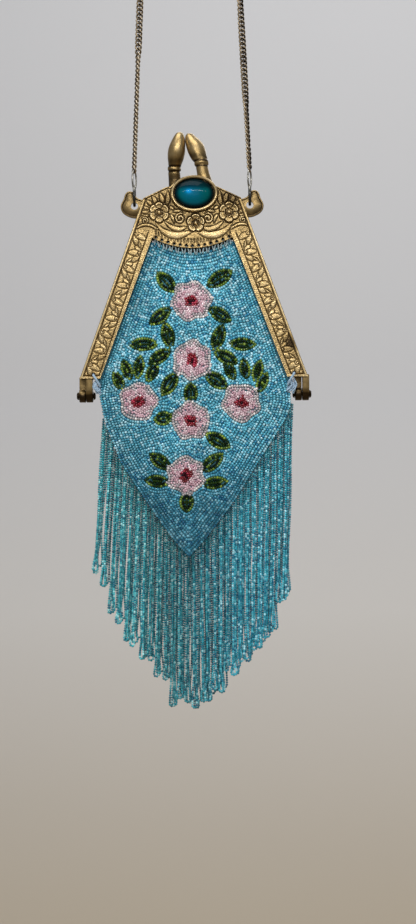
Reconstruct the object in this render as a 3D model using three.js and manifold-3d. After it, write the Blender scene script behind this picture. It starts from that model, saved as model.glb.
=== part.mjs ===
// A beaded frame bag that hangs by its chain: a hinged brass frame of two cast halves with a kiss clasp
// and a glass cabochon, a pouch of two beaded cloth panels, and a bead fringe sewn into the pouch's seam.
// Millimetres, +Z up, the front faces -Y. The origin is under the top bend of the chain.
// Bag heights are measured up from the hinge axis, and bag depths from the plane where the halves meet.
import * as THREE from "three";
import { mergeVertices } from "three/addons/utils/BufferGeometryUtils.js";
import Module from "manifold-3d";

const wasm = await Module();
wasm.setup();

// Clearance between pieces that touch
const GAP = 0.3;

// Frame: one outline serves both cast halves
const FOOT_Z = 9.3;
const FOOT_OUTER = 62;
const FOOT_INNER = 50.8;
const SHOULDER_Z = 106.8;
const SHOULDER_HALF = 26.5;
const BROW_Z = 112.9;
const BROW_HALF = 13.6;
const CORNER_Z = 85.4;
const CORNER_HALF = 21.9;
const LOWER_EDGE_Z = 79.7;
const FRAME_HALF_DEPTH = 6.5;
const PLATE = 2;
const RIM = 1.8;
const PARTING = 0.2;
const PLATE_BACK = FRAME_HALF_DEPTH - PLATE;

// Sewing holes along the crosspiece and at the foot of each leg
const SEWING_HOLES = 13;
const SEWING_PITCH = 3.3;
const SEWING_RADIUS = 0.75;
const SEWING_INSET = 1.25;
const SEWING_SIDES = 6;
const FOOT_HOLE = { x: 54.4, z: 11.4, radius: 0.8 };

// Bezel and cabochon
const BEZEL = { x: 1.2, z: 108.9, a: 12.8, b: 9.9, wall: 1.8, height: 3.3 };
const STONE = { girdle: 1.5, rise: 3.8 };
const DOME_STATIONS = [0, 0.35, 0.62, 0.83, 0.96];

// Hinge: tabs side by side along X, a rivet through both
const TAB = { width: 3.6, radius: 3.5, back: 5.5, front: 0.5, innerX: 55.2, intoFoot: 1.2 };
const PIN = { radius: 1.2, head: 2.1, headLength: 1.1 };

// Clasp fingers, a row for each section from the root to the tip
const FINGER_RIGHT = [
  { x: 9.2, y: -5.2, z: 111.5, radius: 3.9 },
  { x: 6.9, y: -4.4, z: 117.6, radius: 3.5 },
  { x: 5.7, y: -3.7, z: 122, radius: 3.3 },
  { x: 5.4, y: -3.3, z: 124.2, radius: 3.8 },
  { x: 5, y: -2.8, z: 126.6, radius: 3.7 },
  { x: 3.7, y: -1.7, z: 130.4, radius: 4.2 },
  { x: 2.1, y: -0.7, z: 134.6, radius: 4.1 },
  { x: -0.2, y: 0, z: 139, radius: 2.7 },
  { x: -1.8, y: 0, z: 142.4, radius: 0.9 },
];
const FINGER_LEFT = [
  { x: -9.2, y: 5.2, z: 111.5, radius: 3.6 },
  { x: -9.4, y: 4.4, z: 117.5, radius: 3.4 },
  { x: -9.7, y: 3.7, z: 122, radius: 3.3 },
  { x: -9.6, y: 3.3, z: 124.2, radius: 3.7 },
  { x: -9.3, y: 2.8, z: 126.6, radius: 3.6 },
  { x: -8.8, y: 1.7, z: 130, radius: 4.1 },
  { x: -8.1, y: 0.7, z: 134.2, radius: 4.1 },
  { x: -7, y: 0, z: 139, radius: 2.8 },
  { x: -6, y: 0, z: 143.4, radius: 0.9 },
];

// Chain ears on the back half
const EAR = { thickness: 2.4, y: 1.8, holeX: 31.6, holeZ: 103.8, holeRadius: 2 };
const EAR_LOBES = [
  { x: 34, z: 109.2, radius: 3.1 },
  { x: 34.7, z: 103.4, radius: 4.8 },
  { x: 31.2, z: 102.4, radius: 5.4 },
];
const EAR_ROOT = { width: 6, height: 9, inward: 4, below: 1 };

// Cast relief on the front: flowers, swags, scrolls and the leaf scroll of the legs
const RELIEF_SEAT = 0.4;
const FLOWERS = [
  { x: -17.8, z: 98.7, radius: 5.2, petals: 6, height: 1.3 },
  { x: 1.7, z: 92.8, radius: 4.9, petals: 5, height: 1.4 },
  { x: 19.8, z: 98.5, radius: 5.3, petals: 6, height: 1.5 },
];
const FLOWER_FORM = { stepsPerPetal: 4, mean: 0.86, wave: 0.14, heart: 0.36, heartRise: 0.5 };
const SWAGS = [
  { x: -9.6, z: 96.3, outer: 11.8, inner: 9.8, drop: 1.7, start: 1.13, end: 1.75, height: 1 },
  { x: 12.2, z: 96.1, outer: 11.8, inner: 9.8, drop: 1.7, start: 1.27, end: 1.83, height: 1 },
];
const SCROLLS = [
  { x: -16.8, z: 107.2, radius: 2.4 },
  { x: 19.2, z: 106.4, radius: 2.2 },
  { x: -7.2, z: 94.6, radius: 2.5 },
  { x: 9.8, z: 94.2, radius: 2.5 },
];
const SCROLL = { wire: 0.55, height: 0.9, sweep: 4.2 };
const LEG_RIM = { width: 1.3, height: 0.8 };
const LEG_BORDER = { width: 2.4, height: 0.5, topInset: 1.6, endBelow: 1 };
const LEAF_STATIONS = [-1, -0.4, 0.35, 1];
const LEAVES = { count: 10, length: 6, width: 2.4, height: 0.7, firstZ: 16, lastZ: 86, lean: 0.75 };

// Pouch: how far the panels reach to either side of the middle, from the top edge down to the tip,
// which hangs a little to the left, and how far they bulge
const PANEL_WALL = 1.8;
const PANEL_LAP = 2.6;
const PANEL_TOP_GAP = 1.2;
const PANEL_SIDE = [
  { z: LOWER_EDGE_Z - PANEL_TOP_GAP, left: CORNER_HALF + PANEL_LAP, right: CORNER_HALF + PANEL_LAP },
  { z: FOOT_Z, left: FOOT_INNER + PANEL_LAP, right: FOOT_INNER + PANEL_LAP },
  { z: 0, left: 52.2, right: 53.2 },
  { z: -6, left: 51, right: 53.4 },
  { z: -14, left: 49.6, right: 50.2 },
  { z: -36, left: 41.4, right: 36 },
  { z: -58, left: 27.4, right: 22.2 },
  { z: -78, left: 13.6, right: 6.8 },
  { z: -84.5, left: 8, right: 0.8 },
  { z: -88.6, left: 4.3, right: -3.1 },
];
const SEAM_FROM = PANEL_SIDE[3].z;
const TIP = PANEL_SIDE[PANEL_SIDE.length - 1];
const TIP_X = (TIP.right - TIP.left) / 2;

const PANEL_BULGE = [
  { z: 74, bulge: 0 },
  { z: 66, bulge: 2.2 },
  { z: 45, bulge: 5.6 },
  { z: 10, bulge: 8.2 },
  { z: -18, bulge: 8.8 },
  { z: -48, bulge: 6.2 },
  { z: -72, bulge: 2.8 },
  { z: TIP.z, bulge: 0.4 },
];
const BULGE_EASE = 6;
const PUFF_POWER = 2.4;
const FRAMED = { from: -12, to: 8, lap: 0.6 };
const SEAM_LAP = { most: 1, share: 0.25 };
const LIFT_FROM = CORNER_Z - 30;
const SEAM_HALF_GAP = 0.75;
const PANEL_COLUMNS = 14;
const PANEL_ROWS = 19;

// Fringe: a heading in the seam, and locks of looped strands that are longest on the right
const HEADING = { thickness: 0.9, inside: 2.9, outside: 2.6, tipHalf: 1.2, tipDrop: 2.2 };
const LOCK = { count: 31, left: 49.6, right: 52.2, halfWidth: 1.45, halfDepth: 1.6, swell: 7, turn: 3 };
const LOCK_SIDES = 6;
const LOCK_LENGTH = [
  { x: 52.2, length: 102 },
  { x: 40, length: 102 },
  { x: 22, length: 93 },
  { x: 6, length: 91 },
  { x: TIP_X, length: 84 },
  { x: -12, length: 90 },
  { x: -44, length: 88 },
  { x: -49.6, length: 81 },
];
const LOCK_LEAN = { left: 0.12, right: -0.06 };
const LOCK_UNEVEN = { by: 3, step: 2.4 };
// Sections of a lock, by how far it hangs at each
const LOCK_ROOT = { drop: 1.4, wide: 1, deep: 0.2 };
const LOCK_FULL = { wide: 1, deep: 1 };
const LOCK_END = { wide: 0.55, deep: 0.5 };

// Rings, end links and chain
const RING = { wire: 0.75, halfHeight: 5.3, halfWidth: 3.4, slack: 0.9 };
const END_LINK = { wire: 0.5, halfHeight: 5.2, halfWidth: 2.2 };
const CHAIN = { radius: 1.8, bendRadius: 24.5, bendZ: 280, steps: 50, sides: 8 };

// Materials
const COLOURS = {
  brass: { color: 0xb08a45, roughness: 0.38, metalness: 1 },
  chain: { color: 0x8d7a58, roughness: 0.4, metalness: 1 },
  glass: { color: 0x0a6674, roughness: 0.08, metalness: 0 },
  beadwork: { color: 0x5aa3bd, roughness: 0.35, metalness: 0 },
  fringe: { color: 0x56a2ab, roughness: 0.3, metalness: 0 },
};

// Solids from closed geometries, and back
function solidOf(geometry) {
  const bare = geometry.index ? geometry.toNonIndexed() : geometry.clone();
  bare.deleteAttribute("normal");
  bare.deleteAttribute("uv");
  const merged = mergeVertices(bare, 1e-4);
  return new wasm.Manifold(
    new wasm.Mesh({
      numProp: 3,
      vertProperties: merged.attributes.position.array,
      triVerts: new Uint32Array(merged.index.array),
    }),
  );
}

function geometryOf(solid) {
  const mesh = solid.getMesh();
  const geometry = new THREE.BufferGeometry();
  geometry.setAttribute("position", new THREE.BufferAttribute(mesh.vertProperties, 3));
  geometry.setIndex(new THREE.BufferAttribute(mesh.triVerts, 1));
  return geometry;
}

function join(geometries) {
  return geometries.map(solidOf).reduce((sum, solid) => sum.add(solid));
}

function cutAll(solid, geometries) {
  return geometries.map(solidOf).reduce((rest, tool) => rest.subtract(tool), solid);
}

// A shape drawn in X and Z, standing between two depths
function upright(shape, y0, y1, curveSegments = 6) {
  const depth = Math.abs(y1 - y0);
  const geometry = new THREE.ExtrudeGeometry(shape, { depth, bevelEnabled: false, curveSegments });
  return geometry.rotateX(Math.PI / 2).translate(0, Math.max(y0, y1), 0);
}

function disc(x, z, radius, y0, y1, sides) {
  const geometry = new THREE.CylinderGeometry(radius, radius, Math.abs(y1 - y0), sides);
  return geometry.translate(x, (y0 + y1) / 2, z);
}

function rod(x0, x1, radius, sides) {
  const geometry = new THREE.CylinderGeometry(radius, radius, Math.abs(x1 - x0), sides);
  return geometry.rotateZ(Math.PI / 2).translate((x0 + x1) / 2, 0, 0);
}

function turnedToBack(geometry) {
  return geometry.rotateZ(Math.PI);
}

// A closed skin over rings of points, all with the same count, capped at both ends
function loft(rings) {
  const sides = rings[0].length;
  const points = rings.flat();
  const centres = [rings[0], rings[rings.length - 1]].map((ring) =>
    ring.reduce((sum, p) => sum.add(p), new THREE.Vector3()).divideScalar(sides),
  );
  const index = [];
  for (let r = 0; r + 1 < rings.length; r++) {
    for (let s = 0; s < sides; s++) {
      const a = r * sides + s;
      const b = r * sides + ((s + 1) % sides);
      index.push(a, b, b + sides, a, b + sides, a + sides);
    }
  }
  const first = points.length;
  const last = (rings.length - 1) * sides;
  for (let s = 0; s < sides; s++) {
    const next = (s + 1) % sides;
    index.push(first, next, s, first + 1, last + s, last + next);
  }
  const geometry = new THREE.BufferGeometry().setFromPoints([...points, ...centres]);
  return geometry.setIndex(index);
}

// Linear and eased values from a table of rows that run down in one column, z unless another is named
function fromTable(rows, at, column, key = "z") {
  const clamped = THREE.MathUtils.clamp(at, rows[rows.length - 1][key], rows[0][key]);
  const i = Math.max(1, rows.findIndex((row) => row[key] <= clamped));
  const t = (clamped - rows[i][key]) / (rows[i - 1][key] - rows[i][key]);
  return rows[i][column] + t * (rows[i - 1][column] - rows[i][column]);
}

function bulgeAt(z) {
  const at = (step) => fromTable(PANEL_BULGE, z + step, "bulge");
  return (at(-BULGE_EASE) + 2 * at(0) + at(BULGE_EASE)) / 4;
}

// The frame's outline
function legOuter(z) {
  return FOOT_OUTER + ((SHOULDER_HALF - FOOT_OUTER) * (z - FOOT_Z)) / (SHOULDER_Z - FOOT_Z);
}

function legInner(z) {
  return FOOT_INNER + ((CORNER_HALF - FOOT_INNER) * (z - FOOT_Z)) / (CORNER_Z - FOOT_Z);
}

function lowerEdge(x) {
  return LOWER_EDGE_Z + (CORNER_Z - LOWER_EDGE_Z) * (x / CORNER_HALF) ** 2;
}

function outerPath(inset) {
  const start = Math.asin((BROW_Z - BEZEL.z) / BEZEL.b);
  const { x, z, a, b } = BEZEL;
  const arc = new THREE.EllipseCurve(x, z, a - inset, b - inset, start, Math.PI - start);
  const right = [
    new THREE.Vector2(FOOT_OUTER - inset, FOOT_Z),
    new THREE.Vector2(SHOULDER_HALF - inset, SHOULDER_Z - inset),
    new THREE.Vector2(BROW_HALF - inset / 2, BROW_Z - inset),
  ];
  const left = right.map((p) => new THREE.Vector2(-p.x, p.y)).reverse();
  return [...right, ...arc.getPoints(10), ...left];
}

function plateShape() {
  const shape = new THREE.Shape(outerPath(0));
  shape.lineTo(-FOOT_INNER, FOOT_Z);
  shape.lineTo(-CORNER_HALF, CORNER_Z);
  shape.quadraticCurveTo(0, 2 * LOWER_EDGE_Z - CORNER_Z, CORNER_HALF, CORNER_Z);
  shape.lineTo(FOOT_INNER, FOOT_Z);
  return shape;
}

function rimShape() {
  return new THREE.Shape([...outerPath(0), ...outerPath(RIM).reverse()]);
}

// The plain casting that both halves share, facing the front: plate, rim and hinge tabs
function castingParts() {
  const tabs = [-TAB.innerX - TAB.width, TAB.innerX + TAB.width + GAP].flatMap((x) => {
    const rise = FOOT_Z + TAB.intoFoot;
    const depth = TAB.back - TAB.front;
    const block = new THREE.BoxGeometry(TAB.width, depth, rise);
    block.translate(x + TAB.width / 2, -(TAB.back + TAB.front) / 2, rise / 2);
    return [block, rod(x, x + TAB.width, TAB.radius, 16)];
  });
  return [
    upright(plateShape(), -PLATE_BACK, -FRAME_HALF_DEPTH),
    upright(rimShape(), -PARTING, -PLATE_BACK - PLATE / 2),
    ...tabs,
  ];
}

function castingHoles() {
  const holes = [-1, 1].map((side) =>
    disc(side * FOOT_HOLE.x, FOOT_HOLE.z, FOOT_HOLE.radius, 0, -2 * FRAME_HALF_DEPTH, 8),
  );
  for (let i = 0; i < SEWING_HOLES; i++) {
    const x = (i - (SEWING_HOLES - 1) / 2) * SEWING_PITCH;
    const z = lowerEdge(x) + SEWING_INSET;
    holes.push(disc(x, z, SEWING_RADIUS, 0, -2 * FRAME_HALF_DEPTH, SEWING_SIDES));
  }
  holes.push(rod(-FOOT_OUTER * 2, FOOT_OUTER * 2, PIN.radius + GAP, 12));
  return holes;
}

// A clasp finger, round in section along its table of centres
function finger(rows) {
  const centres = rows.map((row) => new THREE.Vector3(row.x, row.y, row.z));
  const rings = rows.map((row, i) => {
    const before = centres[Math.max(0, i - 1)];
    const after = centres[Math.min(rows.length - 1, i + 1)];
    const along = after.clone().sub(before).normalize();
    const across = new THREE.Vector3(0, 1, 0).cross(along).normalize();
    const over = along.clone().cross(across);
    return circle(10, row.radius).map(([u, v]) =>
      centres[i].clone().addScaledVector(across, u).addScaledVector(over, v),
    );
  });
  return loft(rings);
}

function circle(sides, radius) {
  return Array.from({ length: sides }, (_, i) => {
    const angle = (2 * Math.PI * i) / sides;
    return [radius * Math.cos(angle), radius * Math.sin(angle)];
  });
}

function bezelRing() {
  const { x, z, a, b, wall } = BEZEL;
  const shape = new THREE.Shape().absellipse(x, z, a, b, 0, 2 * Math.PI, false);
  const hole = new THREE.Path();
  hole.absellipse(x, z, a - wall, b - wall, 0, 2 * Math.PI, true);
  shape.holes.push(hole);
  return upright(shape, -FRAME_HALF_DEPTH + RELIEF_SEAT, -FRAME_HALF_DEPTH - BEZEL.height, 12);
}

// Relief pieces stand from just inside the plate's face to their own height
function raised(shape, height, curveSegments) {
  return upright(shape, -FRAME_HALF_DEPTH + RELIEF_SEAT, -FRAME_HALF_DEPTH - height, curveSegments);
}

function flower({ x, z, radius, petals, height }) {
  const outline = new THREE.Shape();
  const { stepsPerPetal, mean, wave } = FLOWER_FORM;
  const steps = petals * stepsPerPetal;
  for (let i = 0; i < steps; i++) {
    const angle = (2 * Math.PI * i) / steps;
    const r = radius * (mean + wave * Math.cos(petals * angle));
    outline[i ? "lineTo" : "moveTo"](x + r * Math.sin(angle), z + r * Math.cos(angle));
  }
  const top = -FRAME_HALF_DEPTH - height - FLOWER_FORM.heartRise;
  const heart = disc(x, z, radius * FLOWER_FORM.heart, -FRAME_HALF_DEPTH, top, 8);
  return [raised(outline, height, 1), heart];
}

function swag({ x, z, outer, inner, drop, start, end, height }) {
  const shape = new THREE.Shape();
  shape.absarc(x, z, outer, start * Math.PI, end * Math.PI, false);
  shape.absarc(x, z + drop, inner, end * Math.PI, start * Math.PI, true);
  return raised(shape, height, 8);
}

function scroll({ x, z, radius }) {
  const start = Math.PI / 2 - Math.sign(x);
  const shape = new THREE.Shape();
  shape.absarc(x, z, radius + SCROLL.wire, start, start + SCROLL.sweep, false);
  shape.absarc(x, z, radius - SCROLL.wire, start + SCROLL.sweep, start, true);
  return raised(shape, SCROLL.height, 8);
}

// A strip along a leg, between two distances in from its outer edge
function legStrip(side, from, to, height) {
  const topZ = CORNER_Z - LEG_BORDER.endBelow;
  const corners = [
    [legOuter(FOOT_Z) - from, FOOT_Z],
    [legOuter(topZ) - from, topZ],
    [legOuter(topZ) - to, topZ],
    [legOuter(FOOT_Z) - to, FOOT_Z],
  ];
  return raised(new THREE.Shape(corners.map(([x, z]) => new THREE.Vector2(side * x, z))), height, 1);
}

function leaf(side, i) {
  const z = THREE.MathUtils.lerp(LEAVES.firstZ, LEAVES.lastZ, i / (LEAVES.count - 1));
  const band = legOuter(z) - LEG_RIM.width - (legInner(z) + LEG_BORDER.width);
  const x = legInner(z) + LEG_BORDER.width + band / 2;
  const lean = LEAVES.lean * (i % 2 ? 1 : -1);
  const outline = LEAF_STATIONS.map((t) => [(t * LEAVES.length) / 2, (LEAVES.width / 2) * (1 - t * t)]);
  const loop = [...outline, ...outline.slice(1, -1).reverse().map(([u, v]) => [u, -v])];
  const points = loop.map(([u, v]) => {
    const du = v * Math.cos(lean) - u * Math.sin(lean);
    const dv = v * Math.sin(lean) + u * Math.cos(lean);
    return new THREE.Vector2(side * (x + du), z + dv);
  });
  return raised(new THREE.Shape(points), LEAVES.height, 1);
}

function legRelief(side) {
  const topWidth = legOuter(CORNER_Z) - legInner(CORNER_Z);
  const footWidth = FOOT_OUTER - FOOT_INNER;
  const leaves = Array.from({ length: LEAVES.count }, (_, i) => leaf(side, i));
  return [
    legStrip(side, 0, LEG_RIM.width, LEG_RIM.height),
    legStrip(side, footWidth - LEG_BORDER.width, topWidth - LEG_BORDER.topInset, LEG_BORDER.height),
    ...leaves,
  ];
}

function frameFront() {
  const relief = [...FLOWERS.flatMap(flower), ...SWAGS.map(swag), ...SCROLLS.map(scroll)];
  const legs = [...legRelief(-1), ...legRelief(1)];
  const whole = join([...castingParts(), finger(FINGER_RIGHT), bezelRing(), ...relief, ...legs]);
  const seat = disc(0, 0, 1, -FRAME_HALF_DEPTH, -FRAME_HALF_DEPTH * 2, 24);
  seat.scale(BEZEL.a - BEZEL.wall, 1, BEZEL.b - BEZEL.wall).translate(BEZEL.x, 0, BEZEL.z);
  return geometryOf(cutAll(whole, [...castingHoles(), seat]));
}

function ear(side) {
  const y0 = EAR.y - EAR.thickness / 2;
  const y1 = EAR.y + EAR.thickness / 2;
  const lobes = EAR_LOBES.map((lobe) => disc(side * lobe.x, lobe.z, lobe.radius, y0, y1, 14));
  const root = new THREE.BoxGeometry(EAR_ROOT.width, EAR.thickness, EAR_ROOT.height);
  root.translate(side * (EAR.holeX - EAR_ROOT.inward), EAR.y, EAR.holeZ - EAR_ROOT.below);
  return [...lobes, root];
}

function frameBack() {
  const parts = castingParts().map(turnedToBack);
  const whole = join([...parts, finger(FINGER_LEFT), ...ear(-1), ...ear(1)]);
  const eyes = [-1, 1].map((side) =>
    disc(side * EAR.holeX, EAR.holeZ, EAR.holeRadius, -EAR.y, 3 * EAR.y, 14),
  );
  return geometryOf(cutAll(whole, [...castingHoles().map(turnedToBack), ...eyes]));
}

// An oval glass dome on a straight girdle, clear of the bezel all round
function cabochon() {
  const dome = DOME_STATIONS.map((s) => new THREE.Vector2(1 - s * s, s).normalize());
  const profile = [
    new THREE.Vector2(0, 0),
    new THREE.Vector2(1, 0),
    ...dome.map((p) => new THREE.Vector2(p.x, STONE.girdle + STONE.rise * p.y)),
    new THREE.Vector2(0, STONE.girdle + STONE.rise),
  ];
  const a = BEZEL.a - BEZEL.wall - GAP;
  const b = BEZEL.b - BEZEL.wall - GAP;
  const geometry = new THREE.LatheGeometry(profile, 24).scale(a, 1, b);
  return geometry.rotateZ(Math.PI).translate(BEZEL.x, -FRAME_HALF_DEPTH - GAP, BEZEL.z);
}

function hingePin(side) {
  const inner = TAB.innerX - GAP;
  const outer = TAB.innerX + 2 * TAB.width + 2 * GAP;
  const parts = [
    rod(inner - PIN.headLength, outer + PIN.headLength, PIN.radius, 12),
    rod(inner - PIN.headLength, inner, PIN.head, 12),
    rod(outer, outer + PIN.headLength, PIN.head, 12),
  ];
  return geometryOf(join(parts)).rotateZ(side > 0 ? 0 : Math.PI);
}

// A panel's outer face: flat behind the frame, bulging in the open window and down to the seam
function panelSpan(z) {
  const left = fromTable(PANEL_SIDE, z, "left");
  const right = fromTable(PANEL_SIDE, z, "right");
  const half = (left + right) / 2;
  const framed = THREE.MathUtils.smoothstep(z, FRAMED.from, FRAMED.to);
  const lap = Math.min(SEAM_LAP.most, half * SEAM_LAP.share);
  const free = half - THREE.MathUtils.lerp(lap, PANEL_LAP + FRAMED.lap, framed);
  return { middle: (right - left) / 2, half, free, framed };
}

function panelDepth(x, z) {
  const { middle, free, framed } = panelSpan(z);
  const edge = THREE.MathUtils.lerp(SEAM_HALF_GAP + PANEL_WALL, PLATE_BACK - GAP, framed);
  const inward = THREE.MathUtils.clamp((free - Math.abs(x - middle)) / free, 0, 1);
  return edge + bulgeAt(z) * (1 - (1 - inward) ** PUFF_POWER);
}

function panelX(column, z) {
  const { middle, half, free } = panelSpan(z);
  if (column === 0) return middle - half;
  if (column === PANEL_COLUMNS) return middle + half;
  return middle + THREE.MathUtils.lerp(-free, free, (column - 1) / (PANEL_COLUMNS - 2));
}

// A thick sheet over a grid of columns and rows, from the points of its front and its rear face
function thickSheet(columns, rows, frontPoint, rearPoint) {
  const points = [];
  const index = [];
  const stride = columns + 1;
  const layer = stride * (rows + 1);
  for (const point of [frontPoint, rearPoint]) {
    for (let r = 0; r <= rows; r++) {
      for (let c = 0; c <= columns; c++) points.push(point(c, r));
    }
  }
  const quad = (a, b, c, d) => index.push(a, b, c, a, c, d);
  for (let r = 0; r < rows; r++) {
    for (let c = 0; c < columns; c++) {
      const a = r * stride + c;
      quad(a, a + 1, a + 1 + stride, a + stride);
      quad(layer + a + stride, layer + a + 1 + stride, layer + a + 1, layer + a);
    }
  }
  for (let c = 0; c < columns; c++) {
    const top = rows * stride + c;
    quad(c + 1, c, layer + c, layer + c + 1);
    quad(top, top + 1, layer + top + 1, layer + top);
  }
  for (let r = 0; r < rows; r++) {
    const a = r * stride;
    const b = a + columns;
    quad(a, a + stride, layer + a + stride, layer + a);
    quad(b + stride, b, layer + b, layer + b + stride);
  }
  return new THREE.BufferGeometry().setFromPoints(points).setIndex(index);
}

// The front panel, or the back one as its mirror image
function panel(front) {
  const top = PANEL_SIDE[0].z;
  const place = (column, row, sink) => {
    const level = THREE.MathUtils.lerp(TIP.z, top, row / PANEL_ROWS);
    const x = panelX(column, level);
    const lift = (lowerEdge(x) - LOWER_EDGE_Z) * THREE.MathUtils.smoothstep(level, LIFT_FROM, top);
    const depth = panelDepth(x, level) - sink;
    return new THREE.Vector3(x, front ? -depth : depth, level + lift);
  };
  const outer = (column, row) => place(column, row, 0);
  const inner = (column, row) => place(column, row, PANEL_WALL);
  return front
    ? thickSheet(PANEL_COLUMNS, PANEL_ROWS, outer, inner)
    : thickSheet(PANEL_COLUMNS, PANEL_ROWS, inner, outer);
}

// The seam below the hinges, as the panels' edge: its rows, and its height at a place across
const SEAM_ROWS = PANEL_SIDE.filter((row) => row.z <= SEAM_FROM);

function seamZ(x) {
  return x < TIP_X ? fromTable(SEAM_ROWS, -x, "z", "left") : fromTable(SEAM_ROWS, x, "z", "right");
}

function headingShape() {
  const { inside, outside, tipHalf, tipDrop } = HEADING;
  const edges = (rows, out) => [
    rows.map((row) => new THREE.Vector2(-(row.left + out), row.z)),
    rows.map((row) => new THREE.Vector2(row.right + out, row.z)).reverse(),
  ];
  const tip = [-tipHalf, tipHalf].map((step) => new THREE.Vector2(TIP_X + step, TIP.z - tipDrop));
  const [outerLeft, outerRight] = edges(SEAM_ROWS, outside);
  const [innerLeft, innerRight] = edges(SEAM_ROWS.slice(0, -1), -inside);
  const inner = [...innerLeft, ...innerRight].reverse();
  return new THREE.Shape([...outerLeft, ...tip, ...outerRight, ...inner]);
}

// A lock of strands: thin where it leaves the seam, full below, with a rounded looped end
function lock(i) {
  const x = THREE.MathUtils.lerp(-LOCK.left, LOCK.right, i / (LOCK.count - 1));
  const uneven = LOCK_UNEVEN.by * Math.sin(i * LOCK_UNEVEN.step);
  const length = fromTable(LOCK_LENGTH, x, "length", "x") + uneven;
  const lean = x * (x < 0 ? LOCK_LEAN.left : LOCK_LEAN.right);
  const sections = [
    LOCK_ROOT,
    { ...LOCK_FULL, drop: LOCK.swell },
    { ...LOCK_FULL, drop: length - LOCK.turn },
    { ...LOCK_END, drop: length },
  ];
  const rings = sections.map(({ drop, wide, deep }) =>
    circle(LOCK_SIDES, 1).map(([u, v]) => {
      const at = x + u * LOCK.halfWidth * wide;
      const level = drop > LOCK.swell ? seamZ(x) : seamZ(at);
      return new THREE.Vector3(at + (lean * drop) / length, v * LOCK.halfDepth * deep, level - drop);
    }),
  );
  return loft(rings.reverse());
}

function fringe() {
  const heading = upright(headingShape(), -HEADING.thickness / 2, HEADING.thickness / 2);
  const locks = Array.from({ length: LOCK.count }, (_, i) => lock(i));
  return geometryOf(join([heading, ...locks]));
}

// An oval of wire in a plane, by its half height and half width
class OvalCurve extends THREE.Curve {
  constructor(centre, halfHeight, wideAxis, halfWidth) {
    super();
    Object.assign(this, { centre, halfHeight, wideAxis, halfWidth });
  }
  getPoint(t, target = new THREE.Vector3()) {
    const angle = 2 * Math.PI * t;
    target.copy(this.centre).addScaledVector(this.wideAxis, this.halfWidth * Math.cos(angle));
    target.z += this.halfHeight * Math.sin(angle);
    return target;
  }
}

function ovalLink(centre, { wire, halfHeight, halfWidth }, wideAxis, steps) {
  const curve = new OvalCurve(centre, halfHeight, wideAxis, halfWidth);
  return new THREE.TubeGeometry(curve, steps, wire, 6, true);
}

// The ring hangs in the ear's hole, low enough for its bend to clear the hole's upper edge
const RING_FOOT = EAR.holeZ + EAR.holeRadius - RING.wire - RING.slack;
const RING_Z = RING_FOOT + RING.halfHeight;
const LINK_Z = RING_Z + RING.halfHeight - RING.wire - GAP - END_LINK.wire + END_LINK.halfHeight;
const CHAIN_FOOT = LINK_Z + END_LINK.halfHeight + END_LINK.wire + GAP;

function ring(side) {
  const centre = new THREE.Vector3(side * EAR.holeX, EAR.y, RING_Z);
  return ovalLink(centre, RING, new THREE.Vector3(0, 1, 0), 20);
}

function endLink(side) {
  const centre = new THREE.Vector3(side * EAR.holeX, EAR.y, LINK_Z);
  return ovalLink(centre, END_LINK, new THREE.Vector3(1, 0, 0), 14);
}

// The chain's route: straight up from one end link, over the bend, and down to the other
class BendCurve extends THREE.Curve {
  constructor(start, end) {
    super();
    Object.assign(this, { start, end });
  }
  getPoint(t, target = new THREE.Vector3()) {
    const angle = THREE.MathUtils.lerp(this.start, this.end, t);
    const radius = CHAIN.bendRadius;
    return target.set(radius * Math.cos(angle), EAR.y, CHAIN.bendZ + radius * Math.sin(angle));
  }
}

function chainRoute() {
  const dx = EAR.holeX;
  const dz = CHAIN_FOOT - CHAIN.bendZ;
  const start = Math.atan2(dz, dx) + Math.acos(CHAIN.bendRadius / Math.hypot(dx, dz));
  const bend = new BendCurve(start, Math.PI - start);
  const route = new THREE.CurvePath();
  route.add(new THREE.LineCurve3(new THREE.Vector3(dx, EAR.y, CHAIN_FOOT), bend.getPoint(0)));
  route.add(bend);
  route.add(new THREE.LineCurve3(bend.getPoint(1), new THREE.Vector3(-dx, EAR.y, CHAIN_FOOT)));
  return route;
}

function chain() {
  const section = new THREE.Shape(circle(CHAIN.sides, CHAIN.radius).map(([u, v]) => new THREE.Vector2(u, v)));
  return new THREE.ExtrudeGeometry(section, { steps: CHAIN.steps, extrudePath: chainRoute() });
}

// Assembly: the bag hangs below the origin, with the chain's plane through it
const bag = new THREE.Group();
bag.position.set(0, -EAR.y, -(CHAIN.bendZ + CHAIN.bendRadius - CHAIN.radius));

function add(name, geometry, colour) {
  const mesh = new THREE.Mesh(geometry, new THREE.MeshStandardMaterial(COLOURS[colour]));
  mesh.name = name;
  bag.add(mesh);
}

add("frame_front", frameFront(), "brass");
add("frame_back", frameBack(), "brass");
add("cabochon", cabochon(), "glass");
add("pouch_front", panel(true), "beadwork");
add("pouch_back", panel(false), "beadwork");
add("fringe", fringe(), "fringe");
add("chain", chain(), "chain");
for (const [word, side] of [["left", -1], ["right", 1]]) {
  add(`hinge_pin_${word}`, hingePin(side), "brass");
  add(`ring_${word}`, ring(side), "chain");
  add(`end_link_${word}`, endLink(side), "chain");
}

const part = new THREE.Group();
part.add(bag);

export default part;
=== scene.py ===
# Looks of the beaded frame bag: cast brass relief, beadwork, bead fringe, chain links, stage and camera.
# Lengths are millimetres in the bag's own frame until place() turns them into metres in the part's frame:
# X to the right, Y to the back with the front facing -Y, Z up from the hinge axis.
import math

import bmesh
import bpy
import numpy as np
from mathutils import Matrix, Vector
from mathutils.kdtree import KDTree


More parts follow.
